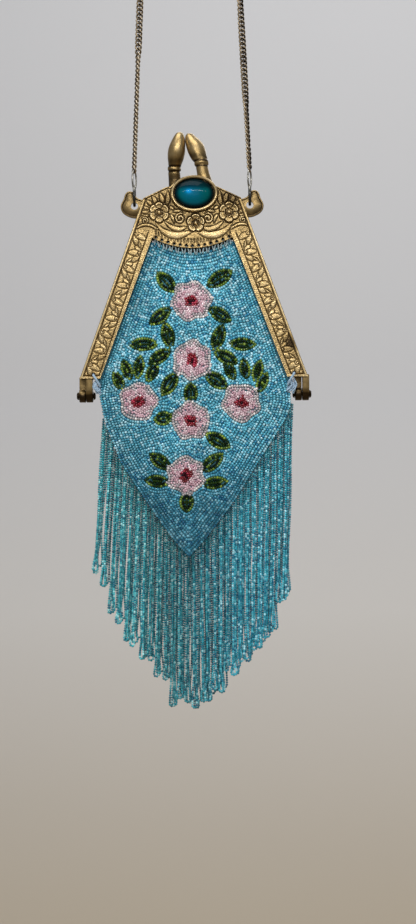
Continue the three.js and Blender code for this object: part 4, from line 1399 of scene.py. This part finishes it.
def thin_sheet(sheets, rows, columns):
    """Two grids of points, face and back, closed round their edge."""
    face = grid_faces(rows, columns)
    count = rows * columns
    index = np.arange(count).reshape(rows, columns)
    edge = np.concatenate([index[0, :-1], index[:-1, -1], index[-1, :0:-1], index[:0:-1, 0]])
    ahead = np.roll(edge, -1)
    wall = np.stack([edge, ahead, ahead + count, edge + count], -1)
    return heap_of(np.concatenate(sheets), [face, face[:, ::-1] + count, wall])


def top_shadow_lining():
    """A near-black lining from the pouch's upper edge to the back of the front plate, its dark colour painted
    shade for the gap behind the sewing holes.
    """
    half = CORNER[0] - LINING_INSET
    across = np.linspace(-half, half, LINING_COLUMNS)
    edge = lower_edge(across)
    rows = [np.stack([across, np.full_like(edge, y), edge + rise], 1) for rise, y in LINING_ROWS]
    front = np.concatenate(rows)
    heap = thin_sheet([front, front + (0, LINING_THICKNESS, 0)], len(LINING_ROWS), LINING_COLUMNS)
    heap.make("top_shadow_lining", SHADOW_LINING)


def pouch_cloth(name, node, turn):
    """The cloth of one panel: a thin closed sheet under the beads."""
    rows, columns = CLOTH_GRID
    top, tip = PANEL_SIDE[0][0] - CLOTH_TOP_GAP, PANEL_SIDE[-1][0]
    levels = np.linspace(tip, top, rows)[:, None]
    middle, half, _ = panel_span(levels)
    hidden = np.minimum(CLOTH_INSET, half / 2) * (1 - smooth(2, 8, levels))
    x = middle + (half - hidden) * np.linspace(-1, 1, columns)
    levels = np.broadcast_to(levels, x.shape)
    z = levels + panel_lift(x, levels)
    depth = panel_depth(x, levels)
    sheets = []
    for sink in (CLOTH_FACE, CLOTH_FACE + CLOTH_WALL):
        sheets.append(np.stack([x, -(depth - sink), z], -1).reshape(-1, 3) * (1, turn, 1))
    heap = thin_sheet(sheets, rows, columns)
    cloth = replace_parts(heap.make(name, CLOTH), node)


def bead_forms(spots, along, normals, length, radius, profile):
    """Small barrels, one at each spot: quads and end caps for all of them at once."""
    over = np.cross(along, normals)
    sides = BEAD_SIDES
    angle = turns(sides)
    ring = np.cos(angle)[:, None] * normals[:, None] + np.sin(angle)[:, None] * over[:, None]
    levels = []
    for share, reach in profile:
        middle = spots + (length * share)[:, None] * along
        levels.append(middle[:, None] + (radius * reach)[:, None, None] * ring)
    points = np.stack(levels, 1).reshape(-1, 3)
    per_bead = len(profile) * sides
    first = (np.arange(len(spots)) * per_bead)[:, None, None]
    quads = (grid_faces(len(profile), sides, wrap=True)[None] + first).reshape(-1, 4)
    near = (np.arange(sides)[None, None, ::-1] + first).reshape(-1, sides)
    far = (np.arange(sides)[None, None] + (len(profile) - 1) * sides + first).reshape(-1, sides)
    return points, [quads, near, far], per_bead


def bead_heap(spots, along, normals, colours, rng, length, radius, profile):
    count = len(spots)
    along = along + rng.normal(0, BEAD_TILT, (count, 3))
    along = unit(flattened(along, normals))
    lengths = length * rng.uniform(*BEAD_LENGTHS, count)
    radii = radius * rng.uniform(*BEAD_RADII, count)
    points, faces, per_bead = bead_forms(spots, along, normals, lengths, radii, profile)
    return heap_of(points, faces, np.repeat(colours, per_bead, 0))


def flower_edge(row, angle):
    _, _, radius, lobes, turn = row
    wave = 0.062 * np.cos(lobes * (angle - turn)) + 0.028 * np.cos((lobes + 2) * angle + 3 * turn)
    return radius * (0.97 + wave + 0.015 * np.sin(3 * angle + turn * 7))


def flower_field(x, z, row):
    reach = np.hypot(x - row[0], z - row[1])
    return reach - flower_edge(row, np.arctan2(z - row[1], x - row[0]))


def leaf_arcs(row):
    """A leaf as the overlap of two circles: centre, direction, half length, circle radius and offset."""
    tip, root, width = np.array(row[:2]), np.array(row[2:4]), row[4] * LEAF_FULLNESS
    half = np.linalg.norm(tip - root) / 2
    radius = (half**2 + (width / 2) ** 2) / width
    return (tip + root) / 2, (tip - root) / (2 * half), half, radius, radius - width / 2


def leaf_field(x, z, row):
    """Distance to a leaf's outline, below zero inside."""
    centre, ahead, half, radius, offset = leaf_arcs(row)
    u = np.abs((x - centre[0]) * ahead[0] + (z - centre[1]) * ahead[1])
    v = np.abs(-(x - centre[0]) * ahead[1] + (z - centre[1]) * ahead[0])
    past_tip = (u - half) * offset > v * half
    return np.where(past_tip, np.hypot(v, u - half), np.hypot(v + offset, u) - radius)


def leaf_line(row, inset):
    """The outline of a leaf, moved inwards."""
    centre, ahead, _, radius, offset = leaf_arcs(row)
    radius = radius - inset
    if radius <= offset + 0.05:
        return None
    half = math.sqrt(radius**2 - offset**2)
    reach = math.atan2(half, offset)
    angle = np.linspace(-reach, reach, 40)
    one = np.stack([radius * np.sin(angle), radius * np.cos(angle) - offset], 1)
    line = np.concatenate([one[:-1], -one[:-1]])
    return centre + line[:, :1] * ahead + line[:, 1:] * np.array([-ahead[1], ahead[0]])


def bead_edge():
    """The outline of the beaded area: under the crosspiece, down one side to the tip and up the other."""
    across = np.linspace(-TOP_HALF, TOP_HALF, 15)
    gap = TOP_GAP + (CORNER_GAP - TOP_GAP) * (across / across[-1]) ** 2
    top = list(zip(across, lower_edge(across) - gap))
    legs = [(leg_inner(z) - gap, z) for z, gap in LEG_GAPS]
    below = [row for row in PANEL_SIDE if row[0] <= 0]
    right = legs + [(row[2] - EDGE_INSET, row[0]) for row in below]
    left = [(-x, z) for x, z in legs] + [(EDGE_INSET - row[1], row[0]) for row in below]
    return np.array(top + right + left[::-1])


def edge_field(x, z, outline):
    """Distance in from a closed outline, below zero outside."""
    best = np.full(x.shape, 1e9)
    inside = np.zeros(x.shape, bool)
    for a, b in zip(outline, np.roll(outline, -1, 0)):
        ab = b - a
        t = np.clip(((x - a[0]) * ab[0] + (z - a[1]) * ab[1]) / (ab @ ab), 0, 1)
        best = np.minimum(best, np.hypot(x - a[0] - t * ab[0], z - a[1] - t * ab[1]))
        crosses = (a[1] > z) != (b[1] > z)
        if ab[1] != 0:
            inside ^= crosses & (x < a[0] + (z - a[1]) * ab[0] / ab[1])
    return np.where(inside, best, -best)


class BeadLayout:
    """Bead places in X and Z, each kept clear of those laid before it."""

    def __init__(self):
        self.cells = {}
        self.spots = []
        self.along = []
        self.colours = []

    def clear(self, spot, space):
        i, j = int(spot[0] // 2), int(spot[1] // 2)
        for a in (i - 1, i, i + 1):
            for b in (j - 1, j, j + 1):
                for other in self.cells.get((a, b), ()):
                    if math.dist(spot, other) < space:
                        return False
        return True

    def lay(self, spots, along, colours, space):
        for spot, direction, colour in zip(spots, along, colours):
            if self.clear(spot, space):
                self.cells.setdefault((int(spot[0] // 2), int(spot[1] // 2)), []).append(tuple(spot))
                self.spots.append(spot)
                self.along.append(direction)
                self.colours.append(colour)


def lay_flowers(layout, rng):
    """Each flower: a silver and a pink row at its edge, close-set pink beads, crimson and a dark heart."""
    angle = np.linspace(0, 2 * math.pi, 120, endpoint=False)
    across, up = np.meshgrid(np.arange(-9, 10), np.arange(-10, 11))
    lattice = np.stack([across + 0.5 * (up % 2), up * math.sqrt(0.75)], -1).reshape(-1, 2) * PETAL_PITCH
    for row in FLOWERS:
        centre = np.array(row[:2])
        for k, palette, share in ((0, SILVER, SILVER_SHARE), (1, BLUSH, BLUSH_SHARE)):
            reach = flower_edge(row, angle) - (k + 0.5) * ROW_PITCH
            line = oval(centre[0], centre[1], reach, reach, angle)
            spots, along = resampled(line, True, BEAD_PITCH)
            layout.lay(spots, along, pick(rng, palette, share, len(spots)), EDGE_SPACE)
        spin = 5 * row[4]
        turned = lattice @ np.array([[math.cos(spin), math.sin(spin)], [-math.sin(spin), math.cos(spin)]])
        spots = centre + turned + rng.normal(0, PETAL_JITTER, lattice.shape)
        spots = spots[flower_field(spots[:, 0], spots[:, 1], row) < -2.4 * ROW_PITCH]
        off = spots - centre
        away = np.hypot(off[:, 0], off[:, 1])
        around = np.arctan2(off[:, 1], off[:, 0])
        colours = pick(rng, PETAL, PETAL_SHARE, len(spots))
        red = away < CRIMSON_REACH + 0.3 * np.sin(2 * around + 9 * row[4])
        colours[red] = pick(rng, CRIMSON, CRIMSON_SHARE, int(red.sum()))
        colours[away < HEART_REACH] = HEART
        way = around + math.pi / 2 + rng.normal(0, PETAL_TURN, len(spots))
        layout.lay(spots, np.stack([np.cos(way), np.sin(way)], 1), colours, PETAL_SPACE)


def lay_leaves(layout, rng):
    """A lime row round each leaf, dark green rows inside it and a broken lime vein."""
    for inset, palette, share in LEAF_ROWS:
        for row in LEAVES:
            line = leaf_line(row, inset)
            if line is None:
                continue
            spots, along = resampled(line, True, BEAD_PITCH)
            free = np.min([flower_field(spots[:, 0], spots[:, 1], flower) for flower in FLOWERS], 0) > 0.5
            layout.lay(spots[free], along[free], pick(rng, palette, share, int(free.sum())), LEAF_SPACE)
    for row in LEAVES:
        tip, root = np.array(row[:2]), np.array(row[2:4])
        count = int(np.linalg.norm(tip - root) / BEAD_PITCH)
        share = np.linspace(0.12, 0.88, count)[:, None]
        spots = root + share * (tip - root)
        along = np.broadcast_to((tip - root) / np.linalg.norm(tip - root), spots.shape)
        layout.lay(spots, along, pick(rng, LIME, VEIN_SHARE, count), VEIN_SPACE)


def motif_field(x, z):
    """Distance to the nearest flower or leaf, below zero inside it."""
    return np.min([flower_field(x, z, row) for row in FLOWERS] + [leaf_field(x, z, row) for row in LEAVES], 0)


def lay_ground(layout, rng, motifs):
    """Blue rows: two round each motif, the rest along the panel's edge, and single beads in the gaps."""
    xs = np.arange(*GRID_X, GRID_STEP)
    zs = np.arange(*GRID_Z, GRID_STEP)
    x, z = np.meshgrid(xs, zs)
    outline = bead_edge()
    edge = edge_field(x, z, outline)
    around = motif_field(x, z) if motifs else np.full(x.shape, 99.0)
    petals = np.min([flower_field(x, z, row) for row in FLOWERS], 0) if motifs else around
    wavy = edge + 0.45 * ripple(x, z, 5.0) * smooth(2, 7, edge)
    steps = [(edge, 0, 0.3, 0.0)]
    steps += [(around, k, 0.0, 1.2 * ROW_PITCH) for k in range(MOTIF_ROWS)]
    steps += [(wavy, k, MOTIF_ROWS * ROW_PITCH, 0.0) for k in range(1, int(edge.max() / ROW_PITCH) + 1)]
    for field, k, off_motif, off_edge in steps:
        for line, closed in contour_lines(field, (k + 0.5) * ROW_PITCH, xs, zs):
            if len(line) < 4:
                continue
            spots, along = resampled(line, closed, BEAD_PITCH)
            spots = spots + rng.normal(0, ROW_JITTER, spots.shape)
            free = edge_field(spots[:, 0], spots[:, 1], outline) >= off_edge
            if motifs:
                free &= motif_field(spots[:, 0], spots[:, 1]) >= off_motif
            layout.lay(spots[free], along[free], water_colours(rng, spots[free]), WATER_SPACE)
    fill_gaps(layout, rng, xs, zs, edge, around, petals)


def fill_gaps(layout, rng, xs, zs, edge, around, petals):
    """Single beads where the rows leave room: in a motif as the nearest bead, elsewhere blue."""
    tree = KDTree(len(layout.spots))
    for i, spot in enumerate(layout.spots):
        tree.insert((*spot, 0), i)
    tree.balance()
    for i, j in np.argwhere(edge > GAP_EDGE):
        spot = (xs[j], zs[i])
        space = GAP_SPACE_PETAL if petals[i, j] < 0 else GAP_SPACE
        _, near, away = tree.find((*spot, 0))
        if away > space and layout.clear(spot, space):
            in_motif = around[i, j] < 0
            colour = layout.colours[near] if in_motif else water_colours(rng, np.array([spot]))[0]
            layout.lay([np.array(spot)], [layout.along[near]], [colour], PETAL_SPACE)


def water_colours(rng, spots):
    """Sky blue beads with deeper patches here and there, painted shade and a bluer tint towards the tip, and
    darker towards the left.
    """
    colours = pick(rng, WATER, WATER_SHARE, len(spots))
    deep = 0.5 + 0.5 * ripple(spots[:, 0], spots[:, 1], 7.0)
    # Painted shade towards the tip, where the pouch turns down from the light
    low = smooth(-14, -70, spots[:, 1])
    aside = smooth(-10, -44, spots[:, 0])
    # The deeper patches are the beads' own tone; the share from the tip is painted shade, and the beads grow
    # darker to the left
    shade = (0.98 - 0.24 * deep) * (1 - 0.55 * low) * (1 - 0.2 * aside)
    # The palest beads, which stand in for glints, are darkened less
    shade = np.where(colours[:, 2] > 0.77, shade**0.75, shade)
    colours[:, 0] *= 1 - 0.3 * low
    colours[:, 2] *= 1 + 0.12 * low
    return np.minimum(colours * shade[:, None], 1)


def bead_rows(name, layout, rng, turn, profile, most):
    """Beads of a layout on a panel, in as many pieces as the size of a piece allows."""
    flat = np.array(layout.spots)
    spots = panel_points(flat[:, 0], flat[:, 1], BEAD_RADIUS)
    normals = panel_normals(flat[:, 0], flat[:, 1])
    along = np.array(layout.along)
    along = np.stack([along[:, 0], np.zeros(len(along)), along[:, 1]], 1)
    along = flattened(along, normals)
    spots += normals * rng.normal(0, ROW_JITTER, (len(spots), 1))
    colours = np.array(layout.colours)
    turned = np.array([1, turn, 1])
    dark = colours.max(1) < DARKEST
    order = np.argsort(-flat[:, 1], kind="stable")
    bright = order[~dark[order]]
    groups = [(part, BEADS) for part in np.array_split(bright, -(-len(bright) // most))]
    if dark.any():
        groups.append((order[dark[order]], DARK_BEADS))
    for k, (group, material) in enumerate(groups):
        heap = bead_heap(
            spots[group] * turned, along[group] * turned, normals[group] * turned, colours[group], rng,
            BEAD_LENGTH, BEAD_RADIUS, profile,
        )
        heap.make(f"{name}_{k + 1}", material, "tint", outward=False)


def pouch():
    rng = np.random.default_rng(SEED + 1)
    pouch_cloth("pouch_front_cloth", "pouch_front", 1)
    pouch_cloth("pouch_back_cloth", "pouch_back", -1)
    top_shadow_lining()
    front = BeadLayout()
    lay_flowers(front, rng)
    lay_leaves(front, rng)
    lay_ground(front, rng, True)
    bead_rows("front_beads", front, rng, 1, BARREL, FRONT_MOST)
    back = BeadLayout()
    lay_ground(back, rng, False)
    bead_rows("back_beads", back, rng, -1, SHORT_BARREL, BACK_MOST)


# Fringe

def seam_z(x):
    """Height of the seam at a place across the bag, below the hinges."""
    rows = np.array([row for row in PANEL_SIDE if row[0] <= SEAM_FROM], float)[::-1]
    if x < TIP_X:
        return np.interp(-x, rows[:, 1], rows[:, 0])
    return np.interp(x, rows[:, 2], rows[:, 0])


def fringe_loop(i, rng):
    """The line of one looped strand: its halves hang one before the other and part near the end."""
    pitch = (LOOP_RIGHT - LOOP_LEFT) / (LOOPS - 1)
    member = i % 3
    root = LOOP_LEFT + pitch * i
    rope = root + (0.5 - member) * pitch
    fan = FAN_LEFT if rope < 0 else FAN_RIGHT
    top = seam_z(root) + ROOT_TUCK
    end = np.interp(rope * (1 + fan), *np.array(FRINGE_END).T)
    end += ROPE_UNEVEN * math.sin(2.9 * (i // 3))
    end += rng.uniform(0, LOOP_UNEVEN) + (2 if member == 2 else 0)
    length = top - end
    spread = rng.uniform(*LOOP_SPREAD)
    drop = np.linspace(0, length - spread, 100)
    part = drop / length
    parted = smooth(length - rng.uniform(*LOOP_PARTING), length, drop)
    half = LOOP_GAP + (spread - LOOP_GAP) * parted
    wave = 0.35 * np.sin(drop / rng.uniform(7, 11) + rng.uniform(0, 6))
    angle = (LOOP_TURN + wave) * rng.choice((-1, 1)) * (1 - 0.8 * parted)
    lean = rope * fan + rng.normal(0, LOOP_SWAY)
    sway = rng.normal(0, LOOP_SWAY) * np.sin(drop / rng.uniform(14, 22) + rng.uniform(0, 6))
    gather = (ROPE_GATHER if member < 2 else 0) * (rope - root) * smooth(0, 0.2, part)
    middle_x = root + gather + (lean + sway) * part
    middle_y = (ROPE_DEPTH[member] + rng.normal(0, 0.12)) * smooth(0, 0.2, part)
    aside_x = half * np.cos(angle)
    aside_y = half * np.sin(angle)
    down = np.stack([middle_x - aside_x, middle_y - aside_y, top - drop], 1)
    up = np.stack([middle_x + aside_x, middle_y + aside_y, top - drop], 1)
    round_end = np.linspace(math.pi, 2 * math.pi, 12)[1:-1]
    tip = np.stack([
        middle_x[-1] + aside_x[-1] * np.cos(round_end),
        middle_y[-1] + aside_y[-1] * np.cos(round_end),
        top - drop[-1] + spread * np.sin(round_end),
    ], 1)
    return np.concatenate([down, tip, up[::-1]])


def fringe():
    rng = np.random.default_rng(SEED + 2)
    for k in range(FRINGE_PIECES):
        spots, along, shade = [], [], []
        for i in range(k * LOOPS // FRINGE_PIECES, (k + 1) * LOOPS // FRINGE_PIECES):
            places, ways = along_line(fringe_loop(i, rng), STRAND_PITCH)
            spots.append(places)
            along.append(ways)
            # Painted shade on the strands: less light about the pouch's tip and for some way below the seam,
            # where the pouch shades them; darker towards the left
            under = STRAND_SHADE - TIP_SHADE * bell(places[:, 0] - TIP_X, TIP_REACH)
            aside = 1 - 0.07 * smooth(10, -30, places[:, 0])
            seam = 0.6 + 0.4 * smooth(2, 20, places[0, 2] - places[:, 2])
            # ROPE_SHADE darkens the strand behind each gap: painted shade
            shade.append(under * aside * seam * ROPE_SHADE[i % 3] * rng.uniform(*STRAND_SHADES))
        spots, along = np.concatenate(spots), np.concatenate(along)
        normals = np.cross(along, [0.3, 0.0, 0.1]) + np.array([0, -1e-3, 0])
        normals = unit(flattened(normals, along))
        colours = pick(rng, TEAL, TEAL_SHARE, len(spots)) * np.concatenate(shade)[:, None]
        colours *= FRINGE_TINT + np.outer(smooth(-30, 30, spots[:, 0]), FRINGE_TINT_RIGHT)
        heap = bead_heap(spots, along, normals, colours, rng, STRAND_LENGTH, STRAND_RADIUS, SHORT_BARREL)
        piece = heap.make(f"fringe_strands_{k + 1}", FRINGE_BEADS, "tint", outward=False)
        if k == 0:
            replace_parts(piece, "fringe")


# Stitches

def corner_loops(heap, x, z, rng):
    """Thread from a foot hole to the cloth's corner, with loose loops about it."""
    side = math.copysign(1, x)
    path = spline([
        (x, -5.0, z), (x, FACE_Y - 0.5, z - 0.5), (x - side * 1.2, FACE_Y - 0.7, z - 2.4),
        (x - side * 2.6, -6.6, z - 4.8), (x - side * 3.4, -5.6, z - 6.6),
    ], 20)
    heap.add(*tube(path, CORNER_THREAD, 10))
    for _ in range(CORNER_LOOPS):
        start_x = x - side * rng.uniform(-0.6, 2.6)
        start = np.array([start_x, rng.uniform(-6.4, -4.4), z - rng.uniform(3.0, 5.0)])
        swing_x = side * rng.uniform(0.2, 1.6)
        swing = np.array([swing_x, rng.uniform(-1.2, 0.4), -rng.uniform(2.5, 5.0)])
        end = start + np.array([-side * rng.uniform(1.0, 2.6), 0.4, -rng.uniform(4.0, 7.0)])
        loop = spline([start, start + swing * 0.6, (start + end) / 2 + swing * 0.4, end], 18)
        heap.add(*tube(loop, CORNER_LOOP_THREAD, 8))


def edge_stitches(heap, x, z, rng):
    """Two threads from a sewing hole, behind the plate and under its edge to the cloth on either side."""
    for side in (-1, 1):
        foot = x + side * SEWING_PITCH * rng.uniform(0.28, 0.5)
        edge = lower_edge(foot)
        path = spline([
            (x, PLATE_BACK_Y + 0.1, z),
            ((2 * x + foot) / 3, PLATE_BACK_Y + 0.1, edge + 0.3),
            ((x + 2 * foot) / 3, PLATE_BACK_Y - 0.3, edge - 0.9),
            (foot, PLATE_BACK_Y - 0.3, edge - TOP_GAP - 0.9),
        ], 16)
        heap.add(*tube(path, rng.uniform(*SEWING_THREAD), 8))


def stitches():
    """Thread from the sewing holes over the plate's lower edge, and loops from the foot holes."""
    rng = np.random.default_rng(SEED + 3)
    grey = Heap()
    blue = Heap()
    for x, z, _ in sewing_holes():
        if abs(x) > CORNER[0] + 5:
            corner_loops(blue, x, z, rng)
        else:
            edge_stitches(grey, x, z, rng)
    grey.make("sewing_thread", GREY_THREAD)
    blue.make("corner_thread", BLUE_THREAD)


# Stage, light and camera

def stage():
    """A pale floor that sweeps up into a backdrop."""
    angle = np.linspace(0, math.pi / 2, 24)
    cove_y = STAGE_BACK - COVE_RADIUS + COVE_RADIUS * np.sin(angle)
    cove_z = STAGE_FLOOR + COVE_RADIUS * (1 - np.cos(angle))
    cove = np.stack([cove_y, cove_z], 1)
    line = np.concatenate([[(STAGE_FRONT, STAGE_FLOOR)], cove, [(STAGE_BACK, STAGE_TOP)]])
    points = [(side * STAGE_SIDE, y, z) for y, z in line for side in (-1, 1)]
    mesh = bpy.data.meshes.new("stage")
    mesh.from_pydata(points, [], [tuple(face) for face in grid_faces(len(line), 2).tolist()])
    mesh.polygons.foreach_set("use_smooth", np.ones(len(mesh.polygons), bool))
    mesh.materials.append(WALL)
    floor = bpy.data.objects.new("stage", mesh)
    bpy.context.scene.collection.objects.link(floor)


def area_light(name, place_at, aim, size, power, colour, serves):
    lamp = bpy.data.lights.new(name, "AREA")
    lamp.shape = "RECTANGLE"
    lamp.size, lamp.size_y = size
    lamp.energy = power
    lamp.color = colour
    light = bpy.data.objects.new(name, lamp)
    light.matrix_world = facing(place_at, aim)
    light.visible_diffuse, light.visible_glossy = serves
    bpy.context.scene.collection.objects.link(light)


def facing(place_at, aim, roll=0.0):
    """A matrix that looks from one point to another along its own -Z."""
    back = np.array(place_at, float) - np.array(aim, float)
    back /= np.linalg.norm(back)
    right = np.cross([0, 0, 1], back)
    right /= np.linalg.norm(right)
    up = np.cross(back, right)
    turned_right = math.cos(roll) * right + math.sin(roll) * up
    turned_up = math.cos(roll) * up - math.sin(roll) * right
    rows = [[turned_right[k], turned_up[k], back[k], place_at[k]] for k in range(3)]
    return Matrix(rows + [[0, 0, 0, 1]])


def lights():
    middle = place((0, 0, 0))
    for name, at, aim, *rest in LIGHTS:
        area_light(name, middle + at, middle + aim, *rest)
    world = bpy.data.worlds.new("studio")
    world.use_nodes = True
    background = world.node_tree.nodes["Background"]
    background.inputs["Color"].default_value = SKY_COLOUR
    background.inputs["Strength"].default_value = SKY_STRENGTH
    bpy.context.scene.world = world


def camera():
    lens = bpy.data.cameras.new("camera")
    lens.sensor_fit = "VERTICAL"
    lens.sensor_height = 36
    lens.lens = lens.sensor_height * VIEW_DISTANCE / VIEW_HEIGHT
    aim = place((VIEW_CENTRE[0], 0, VIEW_CENTRE[1]))
    eye = bpy.data.objects.new("camera", lens)
    eye.matrix_world = facing(aim + (0, -VIEW_DISTANCE * MM, 0), aim, VIEW_ROLL)
    bpy.context.scene.collection.objects.link(eye)
    bpy.context.scene.camera = eye


camera()
stage()
lights()
frame_front()
frame_back()
cabochon()
for word, side in (("left", -1), ("right", 1)):
    rivet(f"hinge_pin_{word}", side)
    oval_wire(f"ring_{word}", side, RING, math.radians(90), NICKEL)
    oval_wire(f"end_link_{word}", side, END_LINK, math.radians(66), NICKEL)
chain()
pouch()
fringe()
stitches()
bpy.context.scene.view_settings.view_transform = "Standard"
